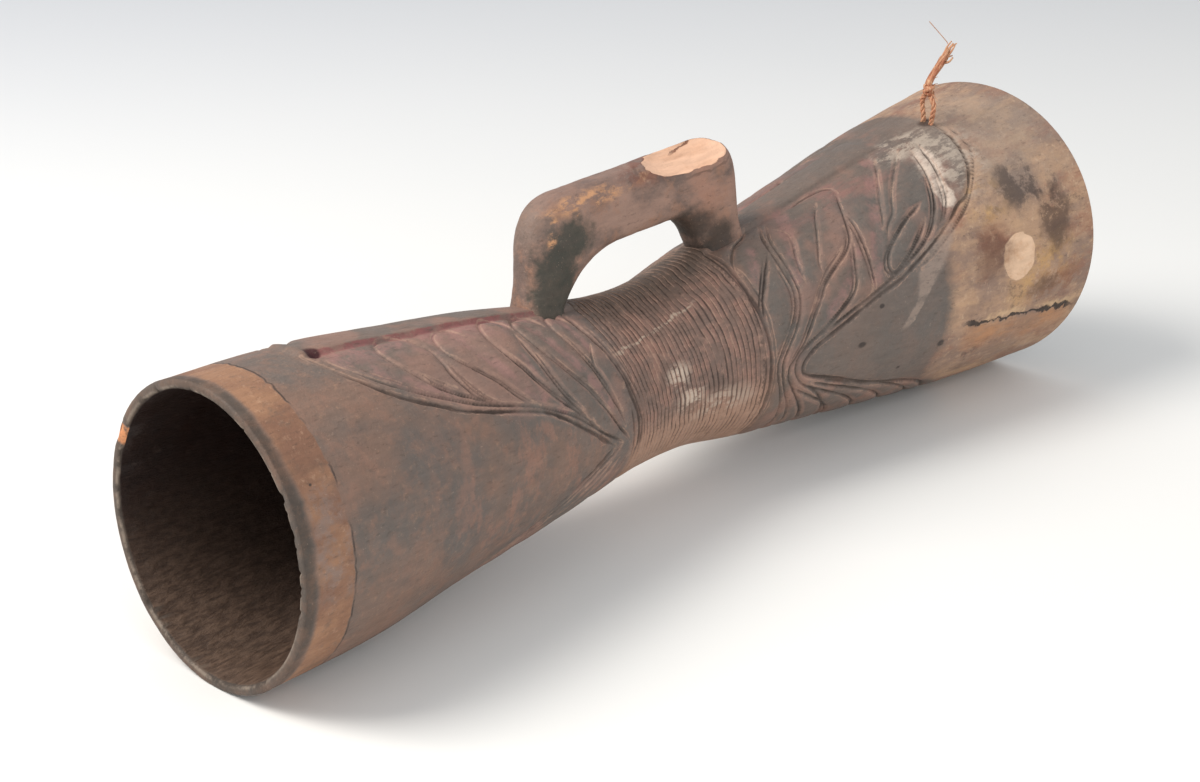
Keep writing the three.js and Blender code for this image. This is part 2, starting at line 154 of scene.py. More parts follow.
BOLD, FINE, HAIR = dict(width=1.6, depth=1.6), dict(width=1.1, depth=1.25), dict(width=0.85, depth=0.7)
COMPANION = dict(width=0.9, depth=0.95)
NEAR_LINES = [
    line((96, 9), (99, 16), (107, 26), (128, 38), (150, 46), (170, 51), (190, 56), (220, 61), (250, 65),
         (280, 70), (300, 76), (330, 88), (350, 97), (366, 104), **BOLD),
    line((106, 12), (113, 22), (133, 34), (150, 40), (170, 46), (190, 51), (205, 55), (230, 59.5), (260, 64),
         (280, 68), (310, 76), (330, 84), (350, 93), (365, 99), (377, 104), **FINE),
    line((118, 20), (138, 31), (157, 39), (178, 47), (200, 53), (225, 57.5), (255, 62), **HAIR),
    line((205, 27), (197, 14), (186, 10.5), (172, 10.5), (161, 15), (159, 24), (168, 34), (180, 42),
         (195, 48.5), (210, 53), (228, 58), **FINE),
    line((173, 36), (183, 41), (196, 47), (208, 51), **HAIR),
    line((177, 36), (187, 41), (200, 46.5), **HAIR),
    line((200, 14), (205, 28), (204, 40), (209, 48), (217, 54), (232, 59), **FINE),
    line((208, 31), (211, 40), (217, 48), (226, 55), (240, 60), **HAIR),
    line((250, 20), (243, 13), (232, 12), (220, 17), (216, 27), (222, 35), (232, 42), (243, 49), (252, 56),
         (262, 62), (273, 66), **FINE),
    line((219, 29), (226, 36), (236, 43), (247, 50), (257, 57), (268, 63), **HAIR),
    line((303, 32), (301, 20), (296, 13), (288, 10.5), (279, 12), (270, 20), (268, 29), (272, 39), (278, 47),
         (284, 54), (294, 62), (308, 70), (325, 79), (343, 88), **FINE),
    line((274, 36), (280, 46), (286, 53), (296, 61), (309, 69), **HAIR),
    line((298, 26), (297, 36), (299, 46), (302, 55), (307, 63), (314, 69), (324, 77), (337, 86), (352, 94),
         **FINE),
    line((303, 44), (305, 54), (311, 63), (319, 70), (330, 77), **HAIR),
    line((338, 24), (333, 15), (325, 12), (315, 13), (307, 20), (306, 28), (310, 38), (318, 48), (328, 57),
         (340, 66), (350, 74.5), (358, 81), (366, 88), (374, 95), (384, 102), (390, 109), **FINE),
    line((313, 40), (322, 50), (333, 59.5), (344, 68), (353, 75), (361, 83), **HAIR),
    line((370, 26), (365, 17), (357, 14), (349, 17), (345, 26), (346, 34), (350, 43), (355, 53), (360, 62),
         (364, 69), (370, 77), (376, 86), (381, 95), **FINE),
    line((350, 33), (354, 43), (359, 54), (364, 63), (369, 72), **HAIR),
    line((372, 42), (364, 50), (361, 58), (364, 66), (372, 76), (379, 86), **HAIR),
    line((374, 12), (374, 22), (375, 31), (379, 41), (383, 48), (387, 58), (391, 68), (394, 78), (399, 88),
         (402, 98), (403, 110), (401, 130), (402, 180), **BOLD),
    line((381, 30), (386, 45), (390, 57), (395, 70), (400, 82), (404, 92), (407, 106), (406, 180), **FINE),
    line((390, 80), (393, 92), (395, 104), (397, 120), (396, 180), **FINE),
    line((366, 104), (350, 109.5), (340, 112), (320, 118), (300, 123), (280, 127), (260, 131), (220, 138),
         (180, 146), (140, 156), (112, 168), (104, 180), **BOLD),
    line((377, 106), (360, 111), (342, 116), (322, 122), (300, 127), (270, 133), (230, 141), (190, 149),
         (155, 158), (130, 169), (122, 180), **FINE),
]
FAR_LINES = [
    line((568, 10), (568, 26), (566, 36), (566, 50), (568, 66), (569, 96), (568, 131), (569, 180), **BOLD),
    line((574, 32), (575, 60), (574, 84), (573, 110), (574, 180), **HAIR),
    line((621, 9), (611, 13), (595, 16), (583, 21), (573, 28), (569, 34), **FINE),
    line((615, 31), (605, 37), (595, 43), (585, 50), (577, 56), (572, 63), (569, 72), **FINE),
    line((611, 31), (600, 37), (590, 43), (581, 50), (574, 57), **HAIR),
    line((636, 12), (625, 20), (619, 28), (615, 38), (613, 48), (613, 58), (609, 66), (603, 72), (596, 78),
         (588, 84), (581, 90), (577, 96), (578, 103), (582, 110), (587, 118), (593, 128), (600, 140),
         (605, 160), (607, 180), **FINE),
    line((641, 14), (626, 27), (621, 40), (620, 52), (617, 63), (611, 71), (602, 79), (593, 86), (586, 92),
         (583, 98), (585, 106), (590, 114), (597, 122), (606, 132), (617, 145), (625, 162), (628, 180),
         **FINE),
    line((729, 20), (722, 25), (714, 32), (707, 39), (700, 46), (690, 51), (675, 55), (660, 59), (648, 63),
         (638, 69), (627, 75), (617, 82), (608, 89), (598, 95), (591, 100), (592, 107), (599, 114),
         (610, 123), (622, 132), (636, 144), (648, 160), (652, 180), **FINE),
    line((690, 48), (673, 52), (657, 56), (642, 62), (630, 69), (618, 76), **HAIR),
    line((675, 14), (690, 12.5), (706, 12.5), (720, 13.5), (729, 17), (727, 23), **FINE),
    line((714, 34), (713, 44), (709, 54), (706, 64), (704, 72), (700, 76), **FINE),
    line((700, 48), (693, 57), (685, 67), (676, 73), (664, 77), (650, 81), (635, 85), (620, 88.5),
         (608, 92.5), (600, 97), (599, 103), (604, 109), (614, 115), (630, 121), (645, 129), (660, 139),
         (674, 152), (684, 168), (687, 180), **FINE),
    line((892, 14), (888, 27), (878, 39), (865, 47), (850, 53), (835, 55), (815, 60), (795, 64), (775, 68),
         (760, 70.5), (735, 75), (700, 79), (675, 83), (655, 86.5), (635, 90), (620, 93.5), (610, 98),
         (607, 103), (612, 107.5), (630, 112), (655, 117), (680, 123), (705, 128), (735, 132), (765, 136),
         (800, 143), (830, 154), (845, 167), (850, 180), **BOLD),
    line((836, 22), (826, 36), (814, 47), (803, 54), (790, 60), (776, 64), (760, 67.5), (735, 71.5),
         (710, 75.5), (680, 79.5), (655, 83.5), (635, 87), **FINE),
    line((850, 20), (838, 38), (828, 49), (816, 56), (800, 60.5), **FINE),
    line((900, 18), (893, 35), (878, 44), (862, 51), (845, 57), (820, 63), (790, 69), (760, 74), **FINE),
    line((800, 46), (775, 50), (760, 53), (745, 57), (733, 61), (726, 66), (727, 70), (735, 71), (755, 66),
         (775, 60), (790, 54), **FINE),
    line((720, 66), (718, 70), (722, 74), (728, 73), **HAIR),
    line((830, 17), (805, 25), (785, 32), (770, 39), (760, 45), (745, 50), (735, 57), **HAIR),
    line((800, 15), (785, 22), (768, 31), (756, 38), (745, 46), (735, 52), **HAIR),
    line((655, 58), (651, 55), (654, 50), (664, 42), (674, 35), (688, 26), (702, 20), **HAIR),
    line((640, 20), (648, 26), (645, 33), (637, 41), (631, 50), (628, 58), **HAIR),
]
# Round the underside, lines in step between each field's border and the waist.
for step in (0.22, 0.42, 0.62, 0.82):
    across = np.array([114, 120, 128, 138, 150, 164, 180])
    edge, waist = curve(NEAR_BORDER, across), curve(WAIST_NEAR, across)
    NEAR_LINES.append({"knots": list(zip(edge + step * (waist - edge), across)), **FINE})
    edge, waist = curve(FAR_BORDER, across), curve(WAIST_FAR, across)
    FAR_LINES.append({"knots": list(zip(waist + (0.25 + 0.7 * step) * (edge - waist), across)), **FINE})


def companions(lines, offset, first, last):
    """A shallower second line beside each fine one, over the part of it between two angles."""
    out = []
    for cut in lines:
        knots = [(a + offset, b) for a, b in cut["knots"] if first <= b <= last]
        if cut["width"] == FINE["width"] and len(knots) > 2:
            out.append({"knots": knots, **COMPANION})
    return out


NEAR_LINES += companions(NEAR_LINES, 0.0042, 34, 84)
FAR_LINES += companions(FAR_LINES, -0.0044, 34, 100)

# Hollowed channels between leaves, which hold the pink pigment.
CHANNELS = [
    line((120, 14), (132, 25), (150, 35), (170, 43), (192, 49.5), width=5, depth=1.1),
    line((208, 12), (212, 22), (208, 30), width=3, depth=0.8),
    line((240, 16), (245, 30), (256, 44), (268, 55), (284, 63), (305, 71), width=4.5, depth=1.2),
    line((287, 40), (289, 52), (295, 60), width=2.5, depth=0.7),
    line((318, 14), (322, 26), (332, 42), (345, 57), (355, 68), (364, 78), width=4, depth=1.1),
    line((362, 16), (362, 30), (366, 44), width=3.5, depth=0.9),
    line((664, 13), (652, 23), (641, 33), (631, 43), (624, 52), width=5, depth=1.3),
    line((790, 14), (768, 26), (748, 37), (732, 48), (720, 58), (708, 70), width=5, depth=1.3),
    line((697, 55), (683, 63), (664, 71), (643, 78), width=4.5, depth=1.1),
    line((600, 27), (590, 36), (581, 45), width=5, depth=0.9),
    line((840, 26), (829, 42), (815, 53), width=3.5, depth=0.8),
]


def rounded(knots, pieces):
    """A rounded path through the knots."""
    k = np.array(knots, float)
    padded = np.vstack([2 * k[0] - k[1], k, 2 * k[-1] - k[-2]])
    t = np.linspace(0, 1, pieces, endpoint=False)[:, None]
    out = []
    for a, b, c, d in zip(padded[:-3], padded[1:-2], padded[2:-1], padded[3:]):
        out.append(0.5 * (2 * b + (c - a) * t + (2 * a - 5 * b + 4 * c - d) * t**2
                          + (3 * b - a - 3 * c + d) * t**3))
    return np.vstack([*out, k[-1:]])


# How far from its ends a cut fades, and how far from a cut a leaf still swells, in mm.
END_TAPER, PILLOW_REACH = 9.0, 7.0


def carve(share, across, cuts, hard, raggedness, away=None):
    """Depth that a set of cuts leaves over a grid; away, if given, is lowered to the distance from them."""
    depth = np.zeros((len(share), len(across)))
    radius = curve(SKIN_RADII, share)
    flat_y = np.radians(across)[None, :] * radius[:, None]
    flat_x = share[:, None] * LENGTH + np.zeros_like(flat_y)
    for cut in cuts:
        path = rounded(cut["knots"], 5)
        px = path[:, 0] * LENGTH
        py = np.radians(path[:, 1]) * curve(SKIN_RADII, path[:, 0])
        gone = np.concatenate([[0], np.cumsum(np.hypot(np.diff(px), np.diff(py)))])
        taper = np.clip(np.minimum(gone, gone[-1] - gone) / END_TAPER, 0, 1) if hard else np.ones(len(px))
        reach = cut["width"] * (1.6 if hard else 2.2)
        if away is not None:
            reach = PILLOW_REACH
        for i in range(len(px) - 1):
            x0, x1 = sorted((px[i], px[i + 1]))
            rows = slice(*np.searchsorted(share * LENGTH, [x0 - reach, x1 + reach]))
            if rows.start >= rows.stop:
                continue
            a0, a1 = sorted((path[i, 1], path[i + 1, 1]))
            turn = np.degrees(reach / curve(SKIN_RADII, path[i, 0]))
            cols = slice(*np.searchsorted(across, [a0 - turn, a1 + turn]))
            if cols.start >= cols.stop:
                continue
            dx, dy = px[i + 1] - px[i], py[i + 1] - py[i]
            qx, qy = flat_x[rows, cols] - px[i], flat_y[rows, cols] - py[i]
            t = np.clip((qx * dx + qy * dy) / (dx * dx + dy * dy + 1e-9), 0, 1)
            gap = np.hypot(qx - t * dx, qy - t * dy)
            fade = 0.25 + 0.75 * (taper[i] + t * (taper[i + 1] - taper[i]))
            d = gap / (cut["width"] * raggedness[rows, cols] * (0.4 + 0.6 * fade))
            if hard:
                shape = np.clip(1.15 - d, 0, 1) ** 0.8 * fade
            else:
                shape = np.exp(-1.2 * d * d)
            depth[rows, cols] = np.maximum(depth[rows, cols], cut["depth"] * shape)
            if away is not None:
                away[rows, cols] = np.minimum(away[rows, cols], gap + 4 * (1 - fade))
    return depth


# Heights of the relief, in mm.
BAND_RISE, PANEL_DROP, SWELL, PIT_DEPTH = 2.6, 0.9, 1.25, 2.4
# The waist's rings, and the pitch and swing of the chain of nicks.
RINGS, NICK_PITCH, NICK_WIDTH = 30, 3.4, 1.7


def relief(share, across):
    """Height of the carved skin over the plain one, with masks for the paint, one column per angle."""
    grid = shell(share[:, None], across[None, :], 0)
    rough = 1 + 0.3 * value_noise(grid, 7, 3) + 0.2 * value_noise(grid, 2.2, 5)
    away = np.full(grid.shape[:2], PILLOW_REACH)
    cuts = carve(share, across, NEAR_LINES + FAR_LINES, True, rough, away)
    cuts = cuts * np.clip(0.85 + 0.4 * value_noise(grid, 16, 4) + 0.2 * value_noise(grid, 4, 6), 0.3, 1.2)
    shallow = (1 - smooth(20, 44, across))[None, :] * (1 - smooth(0.36, 0.38, share))[:, None]
    cuts = cuts * (1 - 0.5 * shallow)
    hollow = carve(share, across, CHANNELS, False, np.ones_like(rough))
    near_edge = curve(NEAR_BORDER, across)[None, :]
    far_edge = curve(FAR_BORDER, across)[None, :]
    waist_near = curve(WAIST_NEAR, across)[None, :] + 0.008
    waist_far = curve(WAIST_FAR, across)[None, :] - 0.004
    s = share[:, None]
    # Waist: engraved rings that wander, fade and restart in groups.
    u = (s - waist_near) / (waist_far - waist_near)
    wander = 0.22 * value_noise(grid * [0.2, 1, 1], 6, 8) + 0.45 * value_noise(grid * [0.1, 1, 1], 30, 9)
    wander = wander + 0.55 * value_noise(grid * [1, 0.25, 0.25], 13, 12)
    phase = u * RINGS + wander * smooth(0, 0.08, u) * (1 - smooth(0.92, 1, u))
    saw = np.abs((phase % 1) - 0.5) * 2
    number = np.floor(phase)
    spoke = np.stack([number * 7.7, grid[..., 1] / 7, grid[..., 2] / 7], -1)
    strength = 0.72 + 0.5 * value_noise(spoke, 1.3, 11) + 0.25 * value_noise(spoke, 0.45, 13)
    inside = smooth(-0.005, 0.012, u) * (1 - smooth(0.985, 1.003, u))
    wide = 2.9 + 1.1 * value_noise(grid, 9, 15)
    ring_cut = 1.05 * np.clip(1 - saw * wide, 0, 1) ** 0.7 * np.clip(strength, 0.12, 1.15) * inside
    # The chain of small nicks beside the far border.
    chain_at = (s - (waist_far - 0.0045)) * LENGTH / NICK_WIDTH
    waist_radius = 56
    beat = np.radians(across)[None, :] * waist_radius / NICK_PITCH * 2 * np.pi
    beat = np.sin(beat + 1.2 * value_noise(grid, 12, 17))
    chain = 0.6 * np.clip(1 - np.abs(chain_at - 0.45 * beat), 0, 1) * (0.6 + 0.5 * value_noise(grid, 6, 18))
    ring_cut = np.maximum(ring_cut, chain * smooth(8, 20, across)[None, :])
    cuts = np.maximum(cuts * (0.25 + 0.75 * smooth(6, 11, across)[None, :]), ring_cut)
    # Leaves swell between their lines, and the panels lie a little under the plain skin.
    in_near = smooth(near_edge - 0.004, near_edge + 0.008, s) * (1 - smooth(0.375, 0.395, s))
    in_far = smooth(0.57, 0.585, s) * (1 - smooth(far_edge - 0.008, far_edge + 0.006, s))
    panel = np.maximum(in_near, in_far)
    swell = (1 - np.exp(-away / 2.4)) * panel * smooth(9, 15, across)[None, :]
    # Raised band along the top, which loses its edge over the waist.
    sharp = np.maximum(1 - smooth(0.385, 0.41, s), smooth(0.55, 0.575, s))
    crisp, blurred = (1 - smooth(low, high, across)[None, :] for low, high in ((8.2, 11.2), (2, 26)))
    edge = sharp * crisp + (1 - sharp) * blurred
    band = smooth(0.092, 0.1025, s + 0.001 * value_noise(grid, 5, 21)) * (1 - smooth(0.8, 0.83, s)) * edge
    pit = np.exp(-(((s - 0.108) * LENGTH / 3.6) ** 2 + ((across[None, :] - 8.6) / 3.4) ** 2))
    height = BAND_RISE * band - cuts - hollow * 0.8 + SWELL * swell - PANEL_DROP * panel - PIT_DEPTH * pit
    return height, cuts, hollow, panel, ring_cut, away / PILLOW_REACH


SKIN_FROM, SKIN_TO = 0.0025, 0.9975


def row_shares():
    """Shares of the length for the skin's rows, closest at the waist; the pitches are in mm."""
    steps = []
    for low, high, pitch in ((SKIN_FROM, 0.09, 2.4), (0.09, 0.385, 0.8), (0.385, 0.575, 0.55),
                             (0.575, 0.87, 0.8), (0.87, SKIN_TO, 2.0)):
        count = int(round((high - low) * LENGTH / pitch))
        steps.append(np.linspace(low, high, count, endpoint=False))
    return np.concatenate([*steps, [SKIN_TO]])


COLUMNS = 480
share = row_shares()
half = np.linspace(0, 180, COLUMNS // 2 + 1)
sheets = relief(share, half)


def both_sides(grid):
    """A half grid, from the top to the bottom, laid on both sides of the handle's plane."""
    return np.concatenate([grid, grid[:, -2:0:-1]], axis=1)


angles = np.concatenate([half, half[-2:0:-1] * -1])
height, cuts, hollow, panel, rings, away = map(both_sides, sheets)
skin = shell(share[:, None], angles[None, :], 0)
uneven = 0.35 * layered(skin * [0.4, 1, 1], 26, 21) - 0.35
chatter = 0.10 * value_noise(skin * [0.35, 1, 1], 3.2, 31)
lift = height + uneven + chatter
skin = shell(share[:, None], angles[None, :], -lift)


def round_the_rim(pitch, row):
    """Noise points round the rim, one cell for so many degrees."""
    return np.stack([angles / pitch, angles * 0 + row, angles * 0], -1)


# Mouth rims: worn, chipped and a little wavy.
wave = layered(round_the_rim(9, 0), 1.0, 41)
nibble = value_noise(round_the_rim(2.2, 3), 1.0, 47)
chips = np.clip(nibble + 0.7 * value_noise(round_the_rim(7, 5), 1.0, 49) - 0.38, 0, 1)
# The large chip on the near mouth's far side, and two small nicks on its near side: angle and half width.
LOST_AT, LOST_HALF = -58.0, 5.0
NICKS = ((62, 1.6, 1.0), (96, 1.1, 0.7))
lost = np.exp(-(((angles - LOST_AT) / LOST_HALF) ** 4)) * (0.8 + 0.3 * nibble)
nicks = sum(deep * np.exp(-(((angles - at) / half_width) ** 2)) for at, half_width, deep in NICKS)


def rim_rows(mouth, sign):
    """Rings from the outer edge to the inner edge of one mouth."""
    wall = float(curve(WALL, mouth))
    own = 1 - mouth
    rows = []
    for inward, back in ((0.3, 1.0), (1.0, 0.3), (wall * 0.35, 0), (wall * 0.7, 0), (wall - 0.8, 0.35),
                         (wall - 0.15, 1.1)):
        deep = inward / wall
        worn = (0.35 + 0.3 * wave) + 1.7 * chips * deep
        worn = worn + own * (2.6 * lost * (0.5 + 0.5 * deep) + 1.5 * nicks * deep)
        at = mouth + sign * (back + worn) / LENGTH
        extra = 0.4 * wave - 1.3 * chips
        rows.append(shell(at, angles, inward + extra * deep))
    return rows


bore_share = np.concatenate([np.linspace(0.996, 0.55, 44, endpoint=False),
                             np.linspace(0.55, 0.4, 14, endpoint=False), np.linspace(0.4, 0.004, 46)])
bore_wall = curve(WALL, bore_share)[:, None]
bore = shell(bore_share[:, None], angles[None, :], bore_wall)
scrape = 0.45 * layered(bore * [0.18, 1, 1], 7, 61) + 0.5 * layered(bore, 34, 67)
fade = smooth(0, 0.02, bore_share)[:, None] * (1 - smooth(0.98, 1, bore_share))[:, None]
bore = shell(bore_share[:, None], angles[None, :], bore_wall + scrape * (0.4 + 0.6 * fade))

near_rings, far_rings = rim_rows(0.0, 1)[::-1], rim_rows(1.0, -1)
body_points = np.stack([*near_rings, *skin, *far_rings, *bore])
rows_before, rows_after = len(near_rings), len(far_rings) + len(bore_share)


def stacked(grid):
    """A grid of the skin, with nothing on the rims and in the bore."""
    return np.concatenate([np.zeros((rows_before, len(angles))), grid, np.zeros((rows_after, len(angles)))])


# The handle's outline and its gap: along and up, in mm, with the radius of each corner.
FOOT = 42.0
HANDLE_TOP_NEAR, HANDLE_TOP_FAR = 110.5, 114.5
OUTER = dict(near=220, near_top=230, far=399, far_top=395, top_near=HANDLE_TOP_NEAR, top_far=HANDLE_TOP_FAR,
             near_r=24, far_r=24)
GAP = dict(near=245, near_top=268, far=365, far_top=351, top_near=73, top_far=74.5, near_r=30, far_r=16)


def arch(shape, legs, corners, bar):
    """Side outline of the handle: up one leg, round the corner, along the bar and down."""
    foot0, foot1 = np.array([shape["near"], FOOT]), np.array([shape["far"], FOOT])
    top0 = np.array([shape["near_top"], shape["top_near"]])
    top1 = np.array([shape["far_top"], shape["top_far"]])

    def toward(a, b, d):
        return a + (b - a) / np.linalg.norm(b - a) * d

    in0, out0 = toward(top0, foot0, shape["near_r"]), toward(top0, top1, shape["near_r"])
    in1, out1 = toward(top1, top0, shape["far_r"]), toward(top1, foot1, shape["far_r"])

    def straight(a, b, n):
        return [a + (b - a) * t for t in np.linspace(0, 1, n, endpoint=False)]

    def bend(a, m, b, n):
        steps = np.linspace(0, 1, n, endpoint=False)
        return [(1 - t) ** 2 * a + 2 * t * (1 - t) * m + t * t * b for t in steps]

    return np.array(straight(foot0, in0, legs) + bend(in0, top0, out0, corners) + straight(out0, in1, bar)
                    + bend(in1, top1, out1, corners) + straight(out1, foot1, legs) + [foot1])


def squared_off(wave, power):
    """A sine or cosine bent towards a square wave."""
    return np.sign(wave) * np.abs(wave) ** power


def handle_grid():
    """Rings of points along the handle, and how many there are in a ring."""
    legs, corners, bar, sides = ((44, 30, 120, 110))
    outer, inner = arch(OUTER, legs, corners, bar), arch(GAP, legs, corners, bar)
    middle = (outer + inner) / 2
    reach = outer - middle
    turn = (np.arange(sides) + 0.5) / sides * 2 * np.pi
    power = 2 / 3.1
    out, side = squared_off(np.cos(turn), power), squared_off(np.sin(turn), power)
    rise = smooth(44, 110.5, middle[:, 1])
    foot = 1 - smooth(46, 62, middle[:, 1])
    half_thick = 11 + 2 * rise + 3.2 * foot**2
    grow = 1 + 0.07 * foot**2
    x = middle[:, None, 0] + reach[:, None, 0] * out * grow[:, None]
    z = middle[:, None, 1] + reach[:, None, 1] * out * grow[:, None]
    y = side[None, :] * half_thick[:, None]
    p = np.stack([x, y, z], -1)
    centre = np.stack([middle[:, 0], middle[:, 0] * 0, middle[:, 1]], -1)[:, None, :]
    normal = (p - centre) / np.linalg.norm(p - centre, axis=-1, keepdims=True)
    dents = 0.55 * layered(p, 24, 71) + 0.14 * value_noise(p, 4, 73) - 0.45
    return p + normal * dents[..., None], len(turn)


handle_points, handle_sides = handle_grid()
# Where a piece split off the top's far corner: a slightly hollow facet, turned up and towards the near side.
SCAR_FROM, SCAR_TO, SCAR_TOP, SCAR_SLOPE = 315.0, 407.0, 9.0, math.radians(33)
scar_normal = np.array([0, -math.sin(SCAR_SLOPE), math.cos(SCAR_SLOPE)])
scar_mid = (handle_points[..., 0] - (SCAR_FROM + SCAR_TO) / 2) / ((SCAR_TO - SCAR_FROM) / 2)
bar_from, bar_to = OUTER["near_top"], OUTER["far_top"]
bar_top = (HANDLE_TOP_NEAR
           + (handle_points[..., 0] - bar_from) / (bar_to - bar_from) * (HANDLE_TOP_FAR - HANDLE_TOP_NEAR))
scar_level = (math.cos(SCAR_SLOPE) * bar_top - math.sin(SCAR_SLOPE) * SCAR_TOP + 0.6
              + 7.5 * np.abs(scar_mid) ** 2.6)
over = handle_points @ scar_normal - scar_level
along_grain = handle_points * [0.3, 1, 1]
hollowing = 0.35 * layered(along_grain, 9, 83) + 0.5 * (1 - np.minimum(scar_mid**2, 1))
splinter = 0.5 * value_noise(handle_points * [0.15, 1, 1], 2.4, 85)
scar_depth = over + 0.7 * layered(handle_points, 7, 87) + 0.9 * value_noise(along_grain, 2.0, 89)
hollowed = np.maximum(over, 0) + (hollowing + splinter) * smooth(0, 2, scar_depth)
cut_down = np.where(scar_depth > 0, hollowed, 0)
handle_points = handle_points - scar_normal * cut_down[..., None]


def grid_faces(rows, cols, start, wrap_rows):
    """Four-sided faces of a grid that closes round its columns."""
    r, c = np.meshgrid(np.arange(rows if wrap_rows else rows - 1), np.arange(cols), indexing="ij")
    r, c = r.ravel(), c.ravel()
    r1, c1 = (r + 1) % rows, (c + 1) % cols
    return np.stack([r * cols + c, r * cols + c1, r1 * cols + c1, r1 * cols + c], -1) + start


def mesh_object(name, points, faces, attributes):
    """A smooth object in the scene, with a number for each point under each attribute's name."""
    mesh = bpy.data.meshes.new(name)
    mesh.from_pydata(points.tolist(), [], [tuple(int(v) for v in f) for f in faces])
    for key, values in attributes.items():
        layer = mesh.attributes.new(key, "FLOAT", "POINT")
        layer.data.foreach_set("value", np.asarray(values, np.float32))
    mesh.polygons.foreach_set("use_smooth", [True] * len(mesh.polygons))
    mesh.update()
    obj = bpy.data.objects.new(name, mesh)
    bpy.context.scene.collection.objects.link(obj)
    return obj


body_rows = body_points.shape[0]
faces = list(grid_faces(body_rows, len(angles), 0, True))
body_world = posed(body_points.reshape(-1, 3))
LOWEST = 0.00003
body_world[:, 2] = np.maximum(body_world[:, 2], LOWEST)
handle_world = posed(handle_points.reshape(-1, 3))


def all_round(column):
    """A number for each row, the same all round."""
    return np.broadcast_to(np.concatenate(column)[:, None], (body_rows, len(angles)))


def all_along(row):
    """A number for each angle, the same all along."""
    return np.broadcast_to(row[None, :], (body_rows, len(angles)))


def with_handle(grid, value):
    """Numbers for all points: the body's own, and one number or list for the handle."""
    return np.concatenate([np.ravel(grid), np.broadcast_to(np.ravel(value), (len(handle_world),))])


share_map = all_round([np.zeros(rows_before), share, np.ones(len(far_rings)), bore_share])
inside_map = all_round([np.linspace(0.6, 0, rows_before), np.zeros(len(share)),
                        np.linspace(0, 0.6, len(far_rings)), np.ones(len(bore_share))])
chip_rows = all_round([np.ones(rows_before), [0.8, 0.8], np.zeros(body_rows - rows_before - 2)])
nothing = np.zeros(share_map.shape)
maps = {
    "share": with_handle(share_map, handle_points[..., 0] / LENGTH),
    "across": with_handle(all_along(np.abs(angles)), 0),
    "side": with_handle(all_along(np.sin(np.radians(angles))), 0),
    "inside": with_handle(inside_map, 0),
    "away": with_handle(stacked(away), 1),
    "handle": with_handle(nothing, 1),
    "rise": with_handle(nothing, handle_points[..., 2] / 100),
    "thick": with_handle(nothing, handle_points[..., 1] / 10),
    "scar": with_handle(nothing, np.clip(scar_depth / 8 + 0.5, 0, 1)),
    "lost": with_handle(chip_rows * lost, 0),
}
for key, grid in {"cut": cuts / 1.3, "channel": hollow / 1.2, "panel": panel, "rings": rings}.items():
    maps[key] = with_handle(stacked(np.clip(grid, 0, 1)), 0)
start = len(body_world)
stations = handle_points.shape[0]
faces += list(grid_faces(stations, handle_sides, start, False)[:, ::-1])
faces.append([start + k for k in range(handle_sides)])
faces.append([start + (stations - 1) * handle_sides + k for k in range(handle_sides)][::-1])
drum = mesh_object("drum_shell_and_handle", np.concatenate([body_world, handle_world]), faces, maps)
mesh = drum.data
bpy.context.view_layer.objects.active = drum
drum.select_set(True)
bpy.ops.object.mode_set(mode="EDIT")
bpy.ops.mesh.select_all(action="SELECT")
bpy.ops.mesh.normals_make_consistent(inside=False)
bpy.ops.object.mode_set(mode="OBJECT")
TRIANGLES = 185000
have = sum(len(p.vertices) - 2 for p in mesh.polygons)
if have > TRIANGLES:
    thin = drum.modifiers.new("thin", "DECIMATE")
    thin.ratio = TRIANGLES / have
    bpy.ops.object.modifier_apply(modifier="thin")
print("drum triangles", sum(len(p.vertices) - 2 for p in drum.data.polygons), "from", have)


def srgb(r, g, b):
    """Linear colour of an 8-bit display colour."""
    def one(v):
        v /= 255
        return v / 12.92 if v <= 0.04045 else ((v + 0.055) / 1.055) ** 2.4
    return (one(r), one(g), one(b), 1)


class Value:
    """A number in a shader graph, which can be added, multiplied and so on."""

    def __init__(self, nodes, socket):
        self.nodes, self.socket = nodes, socket

    def __add__(self, other):
        return self.nodes.math("ADD", self, other)

    def __mul__(self, other):
        return self.nodes.math("MULTIPLY", self, other)

    def __sub__(self, other):
        return self.nodes.math("SUBTRACT", self, other)

    def __rsub__(self, other):
        return self.nodes.math("SUBTRACT", other, self)

    def __truediv__(self, other):
        return self.nodes.math("DIVIDE", self, other)

    def __abs__(self):
        return self.nodes.math("ABSOLUTE", self)

    __radd__, __rmul__ = __add__, __mul__


